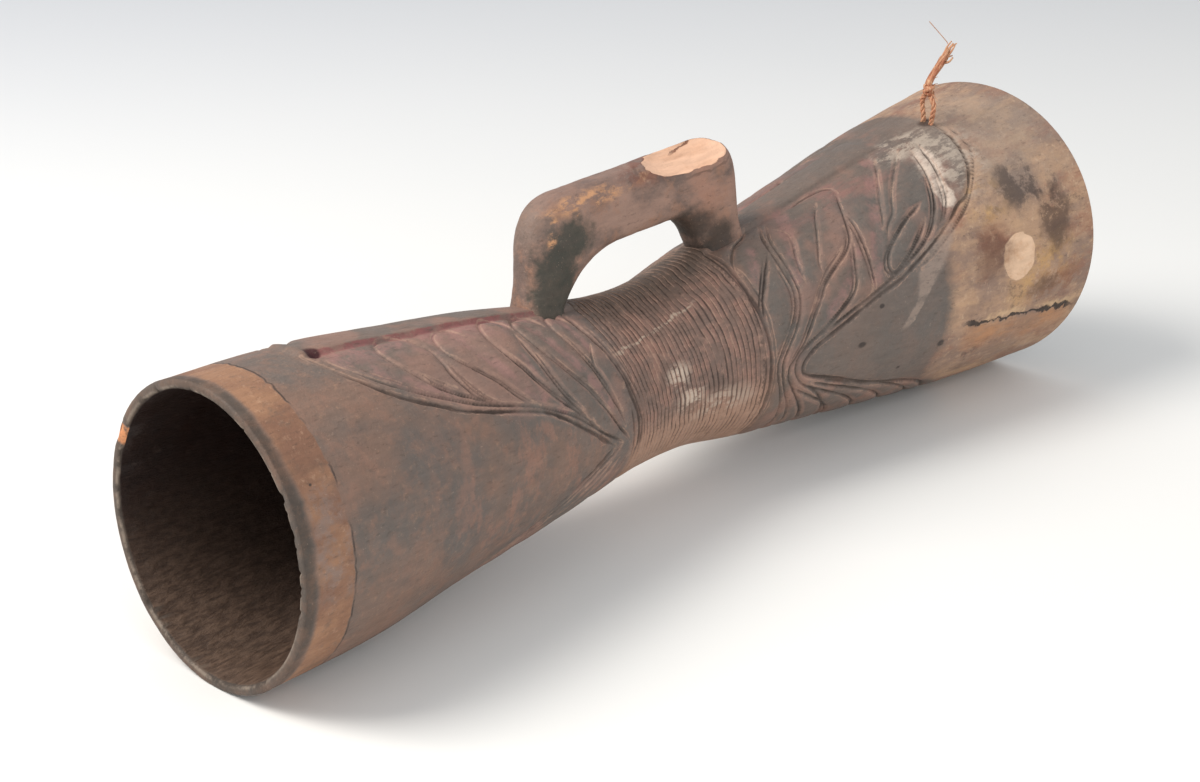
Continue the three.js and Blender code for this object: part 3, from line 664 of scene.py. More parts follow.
class Nodes:
    """Short words for building a shader graph."""

    def __init__(self, name):
        self.material = bpy.data.materials.new(name)
        self.material.use_nodes = True
        self.tree = self.material.node_tree
        self.tree.nodes.clear()
        self.output = self.tree.nodes.new("ShaderNodeOutputMaterial")
        self.place = self.add("ShaderNodeTexCoord").outputs["Object"]

    def add(self, kind, **settings):
        node = self.tree.nodes.new(kind)
        for key, value in settings.items():
            setattr(node, key, value)
        return node

    def feed(self, socket, value):
        value = value.socket if isinstance(value, Value) else value
        if isinstance(value, bpy.types.NodeSocket):
            self.tree.links.new(value, socket)
        else:
            socket.default_value = value

    def value(self, node, inputs, output=0):
        """Value that a node gives once its inputs, by name or number, are fed."""
        for key, value in inputs.items():
            self.feed(node.inputs[key], value)
        return Value(self, node.outputs[output])

    def attr(self, name):
        return self.value(self.add("ShaderNodeAttribute", attribute_name=name), {}, "Fac")

    def math(self, operation, a, b=0.0, clamp=False):
        return self.value(self.add("ShaderNodeMath", operation=operation, use_clamp=clamp), {0: a, 1: b})

    def step(self, low, high, value):
        node = self.add("ShaderNodeMapRange", interpolation_type="SMOOTHSTEP")
        return self.value(node, {0: value, 1: low, 2: high, 3: 0.0, 4: 1.0})

    def noise(self, scale, detail, rough, vector=None):
        vector = self.place if vector is None else vector
        inputs = {"Scale": scale, "Detail": detail, "Roughness": rough, "Vector": vector}
        return self.value(self.add("ShaderNodeTexNoise"), inputs, "Fac")

    def stretch(self, sx, sy=1, sz=1):
        """The place in the object, drawn out along an axis where the factor is under 1."""
        node = self.add("ShaderNodeVectorMath", operation="MULTIPLY")
        return self.value(node, {0: self.place, 1: (sx, sy, sz)})

    def mix(self, factor, a, b):
        """Mix of two colours, each a socket or an 8-bit display colour."""
        node = self.add("ShaderNodeMix", data_type="RGBA")
        a, b = (srgb(*colour) if isinstance(colour, tuple) else colour for colour in (a, b))
        return self.value(node, {"Factor": factor, 6: a, 7: b}, 2)

    def lerp(self, factor, a, b):
        return self.value(self.add("ShaderNodeMix", data_type="FLOAT"), {"Factor": factor, 2: a, 3: b})

    def finish(self, colour, rough, specular, bump=None):
        """The shader, with its bump as height, strength and distance where there is one."""
        shader = self.add("ShaderNodeBsdfPrincipled")
        self.feed(shader.inputs["Base Color"], colour)
        self.feed(shader.inputs["Roughness"], rough)
        shader.inputs["Specular IOR Level"].default_value = specular
        if bump:
            node = self.add("ShaderNodeBump")
            for key, value in zip(("Height", "Strength", "Distance"), bump):
                self.feed(node.inputs[key], value)
            self.feed(shader.inputs["Normal"], node.outputs[0])
        self.tree.links.new(shader.outputs[0], self.output.inputs[0])
        return self.material


def wood_material():
    n = Nodes("patinated_wood")
    step, noise, drawn = n.step, n.noise, n.stretch
    share_s, across_s, side_s, inside_s = (n.attr(name) for name in ("share", "across", "side", "inside"))
    cut, channel, panel_s, away_s = (n.attr(name) for name in ("cut", "channel", "panel", "away"))
    handle_s, rise_s, thick_s, scar_s = (n.attr(name) for name in ("handle", "rise", "thick", "scar"))
    rings_s, lost_s = n.attr("rings"), n.attr("lost")
    grain = noise(330, 5, 0.6, drawn(0.16))
    broad = noise(16, 4, 0.6)
    middle = noise(55, 5, 0.62)
    fine = noise(420, 4, 0.6)
    streak = noise(60, 4, 0.6, drawn(0.2))
    toward = step(-0.15, 0.15, side_s)

    def most(a, b):
        return n.math("MAXIMUM", a, b)

    def paint(factor, new):
        """Lay a colour over what is there."""
        nonlocal base
        base = n.mix(factor, base, new)

    def within(rise_from, rise_to, fall_from, fall_to, value):
        return step(rise_from, rise_to, value) * (1 - step(fall_from, fall_to, value))

    def round_blob(dx, dy, soft, wobble, edge):
        """A blob with a soft edge, which a noise shifts by up to the wobble."""
        d = n.math("SQRT", dx * dx + dy * dy)
        if wobble:
            d = d + (edge - 0.5) * wobble
        return 1 - step(1 - soft, 1 + soft, d)

    def spot(at_share, at_angle, along, turn, soft=0.25, wobble=0.0):
        """A blob on the camera's side at a share and angle, of the given half sizes in mm and degrees."""
        dx = (share_s - at_share) * (LENGTH / along)
        dy = (across_s - at_angle) / turn
        return round_blob(dx, dy, soft, wobble, middle) * toward

    # Patina: grey brown with redder and darker drifts, mottled all over.
    mottle = noise(95, 6, 0.68)
    grit = noise(240, 5, 0.7)
    clouds = noise(34, 5, 0.62, drawn(0.6))
    base = n.mix(step(0.36, 0.66, broad), (98, 90, 84), (123, 98, 84))
    paint(step(0.47, 0.66, mottle) * 0.42, (142, 106, 88))
    paint(step(0.52, 0.72, clouds) * 0.34, (90, 82, 77))
    paint(step(0.55, 0.72, grit) * 0.35, (160, 124, 100))
    # Warmer flecks towards the near field's point.
    apex = spot(0.3, 96, 90, 30, 0.5, 1.6)
    warm = step(0.5, 0.62, noise(75, 6, 0.72, drawn(1, 0.5, 0.5)))
    paint(n.lerp(apex, 0.25, 1) * warm * 0.4, (158, 112, 92))
    # Panels: redder and greyer leaves, with pink on the ridges and in the channels.
    redder = noise(27, 3, 0.5) - step(0.5, 0.6, share_s) * 0.07
    leaf_tone = n.mix(step(0.42, 0.56, redder), (101, 93, 86), (140, 109, 96))
    paint(panel_s * n.lerp(grit, 0.45, 0.8), leaf_tone)
    near_panel = panel_s * (1 - step(0.36, 0.42, share_s))
    pinkness = most(step(0.1, 0.7, channel), near_panel * (1 - step(14, 34, across_s)))
    pinkness = pinkness * step(8.5, 10.5, across_s)
    paint(pinkness * panel_s * step(0.38, 0.62, mottle) * 0.55, (152, 113, 106))
    ridge = panel_s * within(0.03, 0.3, 0.3, 0.5, away_s)
    paint(ridge * step(0.42, 0.64, clouds) * 0.5, (164, 128, 112))
    # The waist: pinkish brown, with painted shade under the handle making it darker and greener on top
    # between the handle's feet, lighter below.
    waist = within(0.385, 0.405, 0.562, 0.575, share_s) * (1 - handle_s)
    paint(waist * 0.65, n.mix(step(0.4, 0.62, mottle), (122, 96, 84), (146, 108, 94)))
    paint(waist * step(92, 122, across_s) * 0.75, (172, 136, 114))
    # Painted shade under the handle's bar, on the waist's top.
    under_handle_shade = waist * (1 - step(10, 40, across_s)) * n.lerp(mottle, 0.6, 1)
    paint(under_handle_shade * 0.8, (78, 70, 60))
    # Beyond the far panel: a slate grey field, then barer, more orange wood with dark blotches.
    drift = share_s + (mottle - 0.5) * 0.012
    far_field = step(0.6, 0.625, share_s) * (1 - panel_s) * (1 - step(0.782, 0.796, drift))
    paint(far_field * n.lerp(grit, 0.5, 0.75), (105, 96, 89))
    far_end = step(0.786, 0.81, drift) * (1 - panel_s)
    bare = n.mix(step(0.4, 0.6, clouds), (142, 116, 100), (178, 143, 115))
    paint(far_end * 0.95, bare)
    streaks = noise(70, 5, 0.68, drawn(0.28))
    paint(far_end * step(0.5, 0.66, streaks) * 0.4, (196, 158, 122))
    blotch = step(0.55, 0.68, noise(30, 6, 0.72, drawn(0.7)))
    paint(far_end * blotch * 0.55, (104, 80, 67))
    reddish = step(0.5, 0.64, noise(42, 5, 0.7, drawn(0.5)))
    paint(far_end * reddish * 0.5, (140, 92, 72))
    paint(far_end * step(0.54, 0.7, grit) * 0.45, (204, 172, 142))
    ragged = noise(38, 8, 0.78, drawn(0.8))
    ochre = most(spot(0.87, 58, 16, 10, 0.6, 2.2), spot(0.93, 96, 26, 12, 0.6, 2.2))
    paint(far_end * ochre * step(0.42, 0.58, ragged) * 0.75, (192, 150, 96))
    rust = most(spot(0.865, 76, 14, 7, 0.6, 2.4), spot(0.95, 104, 20, 8, 0.6, 2.4))
    paint(far_end * rust * step(0.42, 0.56, ragged) * 0.7, (122, 74, 56))
    specks = far_end * step(0.59, 0.66, ragged)
    paint(specks * 0.5, (86, 69, 59))
    dusty = spot(0.925, 30, 46, 30, 0.5, 1.4) * n.lerp(grit, 0.3, 0.9)
    paint(dusty * 0.8, (148, 133, 120))
    # Glue band by the near mouth, and the grey strip in front of it.
    at = share_s + (noise(16, 3, 0.5) - 0.5) * 0.008
    glue = within(0.009, 0.0155, 0.0455, 0.047, at) * (1 - inside_s)
    glue_tone = n.mix(step(0.38, 0.64, clouds), (126, 90, 70), (152, 112, 84))
    glue_tone = n.mix(step(0.52, 0.7, mottle) * 0.5, glue_tone, (96, 84, 74))
    glue_tone = n.mix(step(0.55, 0.75, grit) * 0.5, glue_tone, (186, 150, 122))
    paint(glue * 0.94, glue_tone)
    grey_glue = spot(0.028, 84, 12, 20, 0.5, 1.6) * glue * step(0.4, 0.6, mottle)
    paint(grey_glue * 0.7, (132, 112, 102))
    paint(glue * step(0.56, 0.68, streak) * 0.5, (104, 80, 66))
    lip = (1 - step(0.007, 0.014, at)) * (1 - inside_s)
    paint(lip * 0.8, n.mix(step(0.4, 0.64, mottle), (68, 58, 50), (90, 71, 58)))
    edge_line = within(0.0462, 0.0472, 0.0478, 0.0488, at) * (1 - inside_s)
    paint(edge_line * step(0.4, 0.55, clouds) * 0.8, (50, 38, 32))
    # Red pigment in the groove along the raised band's edge, and a fainter spread beside it.
    lane = across_s + (mottle - 0.5) * 3
    on_near = within(0.1, 0.11, 0.36, 0.385, share_s) * (1 - handle_s) * toward
    by_band = within(8.2, 9.2, 10.4, 12.2, lane) * on_near
    paint(by_band * n.lerp(step(0.4, 0.58, mottle), 0.2, 0.72), (122, 64, 64))
    beside = within(9, 11, 13, 22, lane) * on_near
    paint(beside * step(0.42, 0.64, mottle) * 0.4, (146, 98, 94))
    far_red = within(9, 12, 24, 34, lane) * within(0.63, 0.68, 0.76, 0.84, share_s) * (1 - handle_s)
    paint(far_red * step(0.42, 0.62, streaks) * 0.5, (142, 98, 90))
    paint(spot(0.1085, 8.6, 4, 3.4), (56, 18, 20))
    # Lime: a bold patch on the far bell, its dribble, and traces in the waist's rings.
    brushed = noise(150, 6, 0.72, drawn(0.35))
    chalk = step(0.4, 0.52, brushed)
    patch = most(spot(0.828, 46, 6.5, 11, 0.14, 1.3), spot(0.836, 33, 10, 10, 0.25, 1.5))
    thin = most(spot(0.842, 17, 26, 9, 0.4, 1.5), spot(0.86, 34, 24, 17, 0.45, 1.4))
    paint(thin * step(0.45, 0.56, brushed) * 0.8, (176, 160, 144))
    paint(patch * n.lerp(chalk, 0.45, 0.95), (196, 178, 162))
    dribble_line = (share_s - 0.763) * (LENGTH * 0.74) + (across_s - 83) * 0.78 + (mottle - 0.5) * 9
    spread = 3 + step(92, 66, across_s) * 9
    width = abs(dribble_line) / spread
    dribble = ((1 - step(0.55, 1.1, width)) * within(54, 66, 97, 101, across_s)
               * toward * (1 - panel_s))
    paint(dribble * n.lerp(chalk, 0.35, 0.85) * 0.75, (158, 138, 124))
    traces = most(spot(0.462, 80, 9, 8, 0.5, 1), spot(0.476, 99, 11, 9, 0.5, 1))
    traces = most(traces, spot(0.51, 108, 22, 9, 0.5, 1) * 0.6)
    on_ridge = 1 - step(0.05, 0.4, rings_s)
    paint(traces * step(0.44, 0.53, brushed) * n.lerp(on_ridge, 0.25, 0.95), (192, 172, 154))
    thread = across_s - 52 + (share_s - 0.4) * 120 + (noise(90, 5, 0.7) - 0.5) * 14
    thread = (1 - step(0.5, 1.3, abs(thread))) * waist * toward * (1 - step(0.5, 0.52, share_s))
    paint(thread * step(0.4, 0.54, mottle) * 0.7, (186, 166, 146))
    stray = waist * step(0.62, 0.7, brushed) * step(0.5, 0.6, clouds) * 0.5
    paint(stray, (186, 160, 140))
    # Round pale spot where the wood is bare.
    bare_spot = spot(0.892, 86, 14.5, 10, 0.04, 0.3)
    spot_tone = n.mix(step(0.42, 0.7, mottle), (224, 188, 156), (206, 164, 130))
    spot_tone = n.mix(step(0.6, 0.72, brushed) * 0.5, spot_tone, (176, 132, 100))
    paint(bare_spot, spot_tone)
    # Stains, and the rough crack at the far end with painted shade in its gap.
    torn = n.lerp(step(0.42, 0.52, ragged), 0.12, 0.85)
    paint(spot(0.92, 58, 23, 8.5, 0.5, 3) * torn, (82, 68, 61))
    paint(spot(0.862, 82, 15, 9, 0.6, 2.4) * n.lerp(torn, 0.5, 1) * 0.75, (104, 72, 57))
    paint(spot(0.93, 103, 12, 4, 0.6, 2.4) * torn * 0.7, (92, 70, 58))
    paint(spot(0.948, 77, 12, 11, 0.5, 3) * torn * 0.95, (86, 64, 52))
    jag = noise(60, 6, 0.75, drawn(1.6, 0.4, 0.4)) - 0.5
    crack_line = across_s - 108 - (share_s - 0.818) * 62 + jag * 9
    opened = n.lerp(step(0.35, 0.65, noise(45, 3, 0.5)), 0.35, 1.9)
    crack_run = within(0.812, 0.83, 0.975, 0.995, share_s) * toward
    crack = (1 - step(0.7, 1.1, abs(crack_line) / opened)) * crack_run
    under_crack = within(0.5, 2.5, 8, 17, crack_line) * crack_run
    paint(under_crack * n.lerp(step(0.4, 0.6, streaks), 0.35, 0.85), (178, 128, 90))
    splinters = (1 - step(-0.9, -0.2, crack_line)) * step(-4.5, -2, crack_line) * crack_run
    paint(splinters * step(0.46, 0.56, ragged) * 0.7, (206, 172, 134))
    # Painted shade: the crack's gap is filled near black.
    paint(crack * 0.9, (40, 31, 27))
    # Painted shade of the tie's hole: the wall has no hole cut there, only this dark spot.
    tie_hole_shade = spot(TIE_AT, TIE_ANGLE + TIE_TURN / 2, 5.5, 3.6, 0.4, 0.8)
    paint(tie_hole_shade * 0.8, (58, 42, 34))
    # Painted shade: small pits that the mesh doesn't have, painted dark.
    for pit in ((0.68, 100, 3.2, 1.6), (0.79, 114, 3.0, 1.6), (0.705, 84, 2.0, 1.2), (0.024, 62, 0.8, 0.5),
                (0.74, 122, 1.6, 0.9)):
        paint(spot(*pit, 0.4, 0.5) * 0.85, (52, 44, 40))
    # Handle: browner, a green-black patch on the near leg, worn orange edges and the pale scar.
    handle_tone = n.mix(step(0.36, 0.58, clouds), (106, 88, 80), (156, 124, 108))
    handle_tone = n.mix(step(0.5, 0.68, mottle) * 0.55, handle_tone, (158, 116, 92))
    paint(handle_s * 0.9, handle_tone)
    facing = handle_s * step(0.2, 0.6, thick_s * -1)
    hx = share_s * LENGTH
    hz = rise_s * 100
    on_top = handle_s * step(103, 109, hz) * (1 - step(0.95, 1.2, abs(thick_s)))
    paint(on_top * 0.4, (104, 86, 80))

    def blob(cx, cz, rx, rz, soft=0.35, wobble=0.8, lean=0.0):
        """A blob on the handle at a place along and up, of the given half sizes, all in mm."""
        up = hz - cz
        return round_blob((hx - cx - up * lean) / rx, up / rz, soft, wobble, mottle)

    dark = most(blob(239, 60, 16.5, 33, 0.35, 1.6, 0.12), blob(251, 85, 17, 12, 0.4, 1.8)) * facing
    paint(dark * n.lerp(grit, 0.75, 1), (54, 57, 49))
    # Painted shade in the gap's far inner corner and on the far leg beside it.
    bend_shade = most(blob(352, 68, 22, 11, 0.5, 1.6), blob(373, 56, 14, 14, 0.5, 1.4)) * handle_s
    paint(bend_shade * 0.85, (46, 42, 36))
    corner = blob(229, 98, 15, 12, 0.6, 1.8) * handle_s
    paint(corner * n.lerp(grit, 0.4, 0.8), (94, 84, 77))
    scuffs = step(0.55, 0.66, noise(85, 7, 0.75, drawn(0.5)))
    paint(handle_s * scuffs * 0.3, (84, 70, 62))
    flare = step(0.46, 0.58, noise(120, 6, 0.72, drawn(0.5)))
    worn = most(blob(266, 103, 27, 4.6, 0.5, 1.8), blob(298, 106.5, 24, 3.6, 0.5, 1.6) * 0.6) * facing
    worn = most(worn, blob(240, 92, 3.4, 9, 0.4, 1.2, 0.35) * facing)
    paint(worn * flare * 0.9, (206, 152, 110))
    rusty = blob(366, 92, 20, 20, 0.6, 1.4) * facing
    paint(rusty * step(0.42, 0.62, clouds) * 0.5, (166, 118, 96))
    scar = handle_s * step(0.495, 0.52, scar_s)
    rim_of_scar = handle_s * within(0.42, 0.485, 0.495, 0.52, scar_s)
    paint(rim_of_scar * step(0.4, 0.6, mottle) * 0.6, (150, 98, 74))
    below_scar = facing * within(0.1, 0.16, 0.2, 0.26, scar_s) * step(0.4, 0.55, clouds)
    paint(below_scar * 0.5, (78, 58, 50))
    raw = blob(318, 108, 20, 7, 0.5, 1.8) * step(0.44, 0.56, mottle) * (1 - scar)
    paint(raw * 0.6, (112, 64, 52))
    scar_tone = n.mix(step(0.45, 0.75, streak), (226, 182, 152), (208, 160, 128))
    scar_tone = n.mix(step(0.58, 0.7, mottle) * 0.35, scar_tone, (196, 146, 112))
    paint(scar, scar_tone)
    level = thick_s * 10 + (374 - hx) * 0.22 - 7 + jag * 5
    split = scar * (1 - step(0.35, 0.8, abs(level))) * within(348, 356, 376, 380, hx)
    paint(split * 0.8, (110, 62, 42))
    # Inside of the bore: painted near black as painted shade, dusty brown at the lower lip, and the orange
    # wood of the rim's chip.
    scratch = noise(360, 6, 0.7, drawn(0.3))
    dust = n.mix(step(0.36, 0.66, scratch), (74, 56, 44), (112, 89, 73))
    # Painted shade: the bore's inside is near black.
    bore_shade_tone = n.mix(step(0.3, 0.8, mottle), (36, 17, 9), (24, 9, 4))
    settled = step(0.26, 0, share_s) * step(72, 140, across_s) * n.lerp(clouds, 0.6, 1)
    settled = most(settled, step(0.78, 1, share_s) * step(70, 150, across_s))
    deep = n.mix(settled, bore_shade_tone, dust)
    paint(step(0.4, 0.9, inside_s), deep)
    lip_in = within(0.15, 0.5, 0.7, 0.95, inside_s)
    paint(lip_in * 0.85, n.mix(step(0.4, 0.62, mottle), (58, 48, 40), (88, 73, 61)))
    lip_edge = within(0.3, 0.42, 0.5, 0.62, inside_s) * step(0.4, 0.56, mottle)
    paint(lip_edge * 0.55, (146, 132, 118))
    chip = step(0.35, 0.6, lost_s) * step(0.36, 0.52, mottle)
    paint(chip, n.mix(grit, (176, 108, 66), (214, 150, 104)))
    # Cuts and rings are painted darker as painted shade in them, and edges beside them rub lighter.
    groove_shade = n.lerp(step(0.35, 0.65, clouds), 0.45, 0.8)
    paint(step(0.3, 0.85, cut) * groove_shade, (56, 43, 36))
    # Painted shade in the waist's rings.
    paint(step(0.12, 0.6, rings_s) * 0.6, (50, 39, 33))
    rub = within(0, 0.06, 0.12, 0.3, cut) * step(0.4, 0.6, mottle) * 0.55
    paint(rub, (170, 138, 118))
    # Fine grain and dirt over everything.
    sound = (1 - bare_spot) * (1 - scar)
    fleck = step(0.57, 0.7, noise(520, 4, 0.65, drawn(0.35)))
    paint(fleck * 0.38 * sound, (70, 56, 48))
    dust_fleck = step(0.62, 0.72, noise(640, 4, 0.65))
    paint(dust_fleck * 0.3 * sound * (1 - inside_s), (178, 152, 132))
    grained = n.value(n.add("ShaderNodeHueSaturation"), {"Color": base, "Value": n.lerp(grain, 0.78, 1.22)})
    rough = n.lerp(step(0.3, 0.7, middle), 0.52, 0.72)
    rough = n.math("ADD", rough, most(patch, bare_spot) * 0.18, clamp=True)
    bump = (grain * 0.6 + fine * 0.5 + mottle * 0.9 + inside_s * scratch * 2 + scar * streak * 0.8 - split * 2
            - crack * 2 - bare_spot * 0.8)
    return n.finish(grained, rough, 0.35, (bump, 0.7, 0.001))


drum.data.materials.append(wood_material())
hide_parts("drum_body")
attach(drum, "root")


# The fibre tie: a twisted loop through two holes in the wall, its knot, and a frayed tail.
CORD_THICK, KNOT_UP, TAIL_OUT, TAIL_UP = 3.4, 20, 13, 29
rng = np.random.default_rng(7)


def evenly(path, count):
    """A path with its points evenly apart, and its length."""
    gone = np.concatenate([[0], np.cumsum(np.linalg.norm(np.diff(path, axis=0), axis=1))])
    at = np.linspace(0, gone[-1], count)
    return np.stack([np.interp(at, gone, path[:, k]) for k in range(3)], -1), gone[-1]


def frames_along(path):
    """Unit directions along and across a path, with no sudden turns."""
    ahead = np.gradient(path, axis=0)
    ahead /= np.linalg.norm(ahead, axis=1)[:, None]
    across = np.cross(ahead[0], [0.3, 0.9, 0.2])
    sides = []
    for direction in ahead:
        across = across - direction * np.dot(across, direction)
        across /= np.linalg.norm(across)
        sides.append(across)
    sides = np.array(sides)
    return ahead, sides, np.cross(ahead, sides)


def strand(path, radius, sides=7):
    """Points and faces of a closed tube; radius is a number or one for each point of the path."""
    ahead, one, two = frames_along(path)
    turn = np.arange(sides) / sides * 2 * np.pi
    radius = np.broadcast_to(radius, (len(path),))
    ring = (np.cos(turn)[None, :, None] * one[:, None, :] + np.sin(turn)[None, :, None] * two[:, None, :])
    points = path[:, None, :] + ring * radius[:, None, None]
    faces = [tuple(f) for f in grid_faces(len(path), sides, 0, False)]
    faces.append(tuple(range(sides)))
    faces.append(tuple((len(path) - 1) * sides + k for k in reversed(range(sides))))
    return points.reshape(-1, 3), faces


def bundle(name, strands):
    """One mesh from several strands, with a tone for each and the share along it."""
    points, faces, tone, along = [], [], [], []
    for path, radius in strands:
        p, f = strand(path, radius)
        start = sum(len(x) for x in points)
        points.append(p)
        faces += [tuple(int(v) + start for v in face) for face in f]
        tone.append(np.full(len(p), rng.random()))
        along.append(np.repeat(np.linspace(0, 1, len(path)), len(p) // len(path)))
    return mesh_object(name, posed(np.vstack(points)), faces,
                       {"tone": np.concatenate(tone), "along": np.concatenate(along)})


def twisted(path, turns, count=3):
    """The cord's strands, winding round a path."""
    spread, radius = CORD_THICK * 0.25, CORD_THICK * 0.255
    ahead, one, two = frames_along(path)
    share_along = np.linspace(0, 1, len(path))
    out = []
    for k in range(count):
        turn = 2 * np.pi * (turns * share_along + k / count)
        uneven = 1 + 0.12 * np.sin(share_along * 23 + k * 2.1)
        offset = (np.cos(turn)[:, None] * one + np.sin(turn)[:, None] * two) * (spread * uneven)[:, None]
        out.append((path + offset, radius * (1 + 0.1 * np.sin(share_along * 31 + k))))
    return out


tie_holes = [shell(TIE_AT + k * TIE_STEP / LENGTH, TIE_ANGLE + k * TIE_TURN, 0) for k in (0, 1)]
tie_out = shell(TIE_AT, TIE_ANGLE + TIE_TURN / 2, 0) * [0, 1, 1]
tie_out /= np.linalg.norm(tie_out)
tie_up = np.array([0, -math.sin(ROLL), math.cos(ROLL)])
tie_wall = float(curve(WALL, TIE_AT))
tie_mid = (tie_holes[0] + tie_holes[1]) / 2
tie_knot = tie_mid + tie_up * KNOT_UP
apart = tie_holes[0] - tie_mid


def leg(hole):
    """Points of the cord through one hole and up: inner end, outer end and the loop's bulge."""
    side = hole - tie_mid
    outer = hole + tie_out * 1.5
    bulge = outer * 0.45 + tie_knot * 0.55 + side * 1.1
    return [hole - tie_out * tie_wall, outer, bulge]


inner_a, outer_a, bulge_a = leg(tie_holes[0])
inner_b, outer_b, bulge_b = leg(tie_holes[1])
# The cord itself starts at the inner end of one hole, rises, turns over under the knot and goes back in.
loop_points = [inner_a, (inner_a + outer_a) / 2, outer_a, bulge_a, tie_knot + apart * 0.75 - tie_up * 3.4,
               tie_knot, tie_knot - apart * 0.75 - tie_up * 3.4, bulge_b, outer_b, (inner_b + outer_b) / 2,
               inner_b]
loop_path, loop_length = evenly(rounded(loop_points, 12), 150)
TWIST_PITCH = 11
loop = bundle("tie_loop", twisted(loop_path, loop_length / TWIST_PITCH))
# The underside strand, inside the mouth, joins the two holes.
under = tie_mid - tie_out * (tie_wall + 5)
under_path, _ = evenly(rounded([inner_a, under, inner_b], 12), 30)
inner_bend = bundle("tie_underside", twisted(under_path, 1.4))

# The knot: two close turns round the loop's top, one of them tilted.
knot_strands = []
for k, (tilt, size, level) in enumerate(((0.5, 2.7, -1.2), (-0.4, 2.9, 0.9), (0.15, 2.4, 2.6))):
    turn = np.linspace(0, 2 * np.pi * 1.15, 40) + k
    ring_one = np.array([1, 0, 0]) * size
    ring_two = np.array([0, math.cos(tilt), math.sin(tilt)]) * size
    ring_path = np.cos(turn)[:, None] * ring_one + np.sin(turn)[:, None] * ring_two
    ring_path = tie_knot + tie_up * level + ring_path + tie_up * np.linspace(-0.5, 0.5, 40)[:, None]
    knot_strands.append((ring_path, 1.25))
core = rounded([tie_knot - tie_up * 3, tie_knot + [0, -1.0, 0], tie_knot + tie_up * 3.5], 8)
knot_strands.append((core, 2.0))
knot = bundle("tie_knot", knot_strands)

# The tail: loose strands that lean to the far side and splay, with a few hairs.
TAIL_TURN = math.radians(-43.8)
heading = np.array([math.cos(TAIL_TURN), math.sin(TAIL_TURN), 0])
tail_top = tie_knot + heading * TAIL_OUT + tie_up * TAIL_UP
tail_strands = []
for k in range(12):
    reach = 0.72 + 0.36 * rng.random()
    lean = rng.normal(0, 1, 3) * [2.2, 2.2, 0.8]
    mid = (tie_knot + tail_top) / 2 + tie_up * 3 + rng.normal(0, 1.1, 3)
    end = tie_knot + (tail_top - tie_knot) * reach + lean
    third = mid * 0.4 + end * 0.6 + rng.normal(0, 0.9, 3)
    low = tie_knot + tie_up * 5 + rng.normal(0, 0.7, 3)
    path, _ = evenly(rounded([tie_knot + tie_up * 1.5, low, mid, third, end], 10), 40)
    thin_out = 1 - 0.65 * np.linspace(0, 1, 40) ** 2
    tail_strands.append((path, (1.0 + 0.45 * rng.random()) * thin_out))
for k in range(7):
    root = tie_knot + tie_up * rng.uniform(-2, 4)
    swing = np.array([rng.uniform(-3, 8), rng.uniform(-9, 4), rng.uniform(-7, 6)])
    path, _ = evenly(rounded([root, root + swing * 0.5 + tie_up * 1.5, root + swing], 8), 18)
    tail_strands.append((path, 0.34 * (1 - 0.6 * np.linspace(0, 1, 18))))
hair = [tail_top - heading * 3, tail_top + tie_up * 2 - heading * 4, tail_top - heading * 15 + tie_up * 15]
tail_strands.append((evenly(rounded(hair, 10), 30)[0], 0.26))
tail = bundle("tie_tail", tail_strands)


def fibre_material():
    n = Nodes("bast_fibre")
    tone, along = n.attr("tone"), n.attr("along")
    streaks = n.noise(900.0, 4, 0.65, n.stretch(1, 1, 0.35))
    soft = n.noise(160.0, 4, 0.6)
    base = n.mix(tone, (142, 82, 58), (188, 130, 100))
    base = n.mix(n.step(0.45, 0.7, streaks), base, (206, 166, 130))
    base = n.mix(n.step(0.5, 0.72, soft) * 0.6, base, (112, 60, 38))
    base = n.mix(n.step(0.6, 1.0, along) * 0.3, base, (220, 186, 150))
    return n.finish(base, n.lerp(soft, 0.65, 0.9), 0.25, (streaks, 0.6, 0.0003))


bast = fibre_material()
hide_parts("fibre_tie")
for piece in (loop, inner_bend, knot, tail):
    piece.data.materials.append(bast)
    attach(piece, "root")
cord_row = posed(loop_path)


FLOOR_SIZE, FLOOR_LEVEL = 14, -0.0004
bpy.ops.mesh.primitive_plane_add(size=FLOOR_SIZE, location=(0, 0, FLOOR_LEVEL))
floor = bpy.context.object
floor.name = "floor"


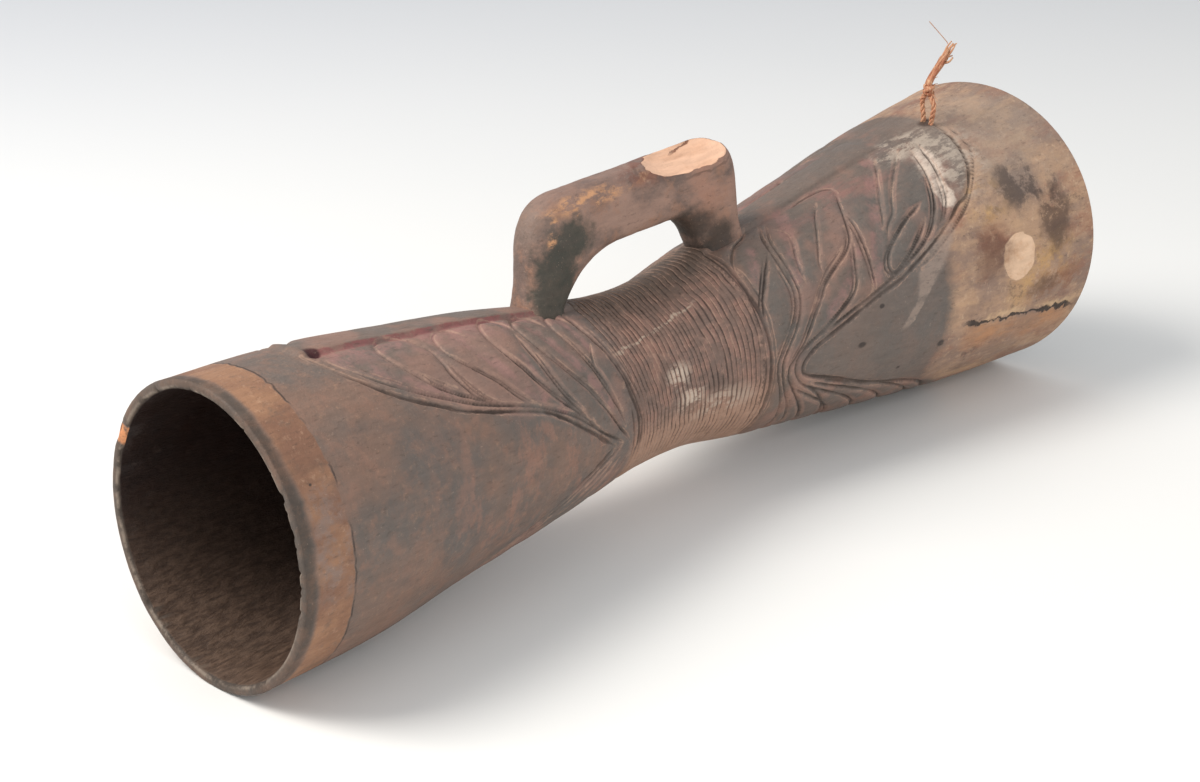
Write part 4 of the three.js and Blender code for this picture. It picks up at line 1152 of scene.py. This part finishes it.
def floor_material():
    """Pale paper, painted softly darker away from the camera as painted shade."""
    n = Nodes("pale_floor")
    ahead = n.add("ShaderNodeVectorMath", operation="DOT_PRODUCT")
    # Painted shade: the paper darkens away from the camera.
    falloff_shade = n.step(0.1, 1.7, n.value(ahead, {0: n.place, 1: (0.42, 1.0, 0.0)}, "Value"))
    paper = n.mix(n.noise(3.0, 2, 0.5), (232, 231, 227), (236, 234, 230))
    return n.finish(n.mix(falloff_shade, paper, (213, 214, 216)), 0.8, 0.5)


floor.data.materials.append(floor_material())

world = bpy.data.worlds.new("studio")
bpy.context.scene.world = world
world.use_nodes = True
SKY, SKY_STRENGTH = (0.93, 0.96, 1.0, 1), 0.66
background = world.node_tree.nodes["Background"]
background.inputs[0].default_value, background.inputs[1].default_value = SKY, SKY_STRENGTH


LIT_PLACE = Vector((0, 0, 0.1))


def area_light(name, at, size, power, colour):
    """A soft light at a place in metres, turned to the drum."""
    data = bpy.data.lights.new(name, "AREA")
    data.shape = "RECTANGLE"
    data.size, data.size_y = size
    data.energy = power
    data.color = colour
    obj = bpy.data.objects.new(name, data)
    bpy.context.scene.collection.objects.link(obj)
    obj.location = at
    obj.rotation_mode = "QUATERNION"
    obj.rotation_quaternion = (LIT_PLACE - Vector(at)).to_track_quat("-Z", "Y")


area_light("key", (-1.5, 0.9, 1.9), (1.3, 1.3), 62, (1.0, 0.97, 0.93))
area_light("fill", (-0.6, -2.0, 1.2), (1.6, 1.2), 16, (0.95, 0.97, 1.0))

# The photograph's view: place in mm, direction and top, and the focal length in its pixels.
CAMERA_AT, AHEAD, TOP = (-933.97, -815.4, 564.1), (0.68325, 0.62598, -0.37591), (0.26698, 0.265, 0.92655)
SENSOR, FOCAL_PIXELS, PHOTO_WIDTH = 36, 2329, 1200
camera_data = bpy.data.cameras.new("camera")
camera = bpy.data.objects.new("camera", camera_data)
bpy.context.scene.collection.objects.link(camera)
bpy.context.scene.camera = camera
camera_data.sensor_width = SENSOR
camera_data.lens = SENSOR * FOCAL_PIXELS / PHOTO_WIDTH
forward = Vector(AHEAD).normalized()
right = forward.cross(Vector(TOP)).normalized()
up = right.cross(forward)
turned = Matrix((right, up, -forward)).transposed().to_4x4()
camera.matrix_world = Matrix.Translation(Vector(CAMERA_AT) * MM) @ turned
camera_data.clip_start, camera_data.clip_end = 0.05, 50

bpy.context.scene.view_settings.view_transform = "Standard"
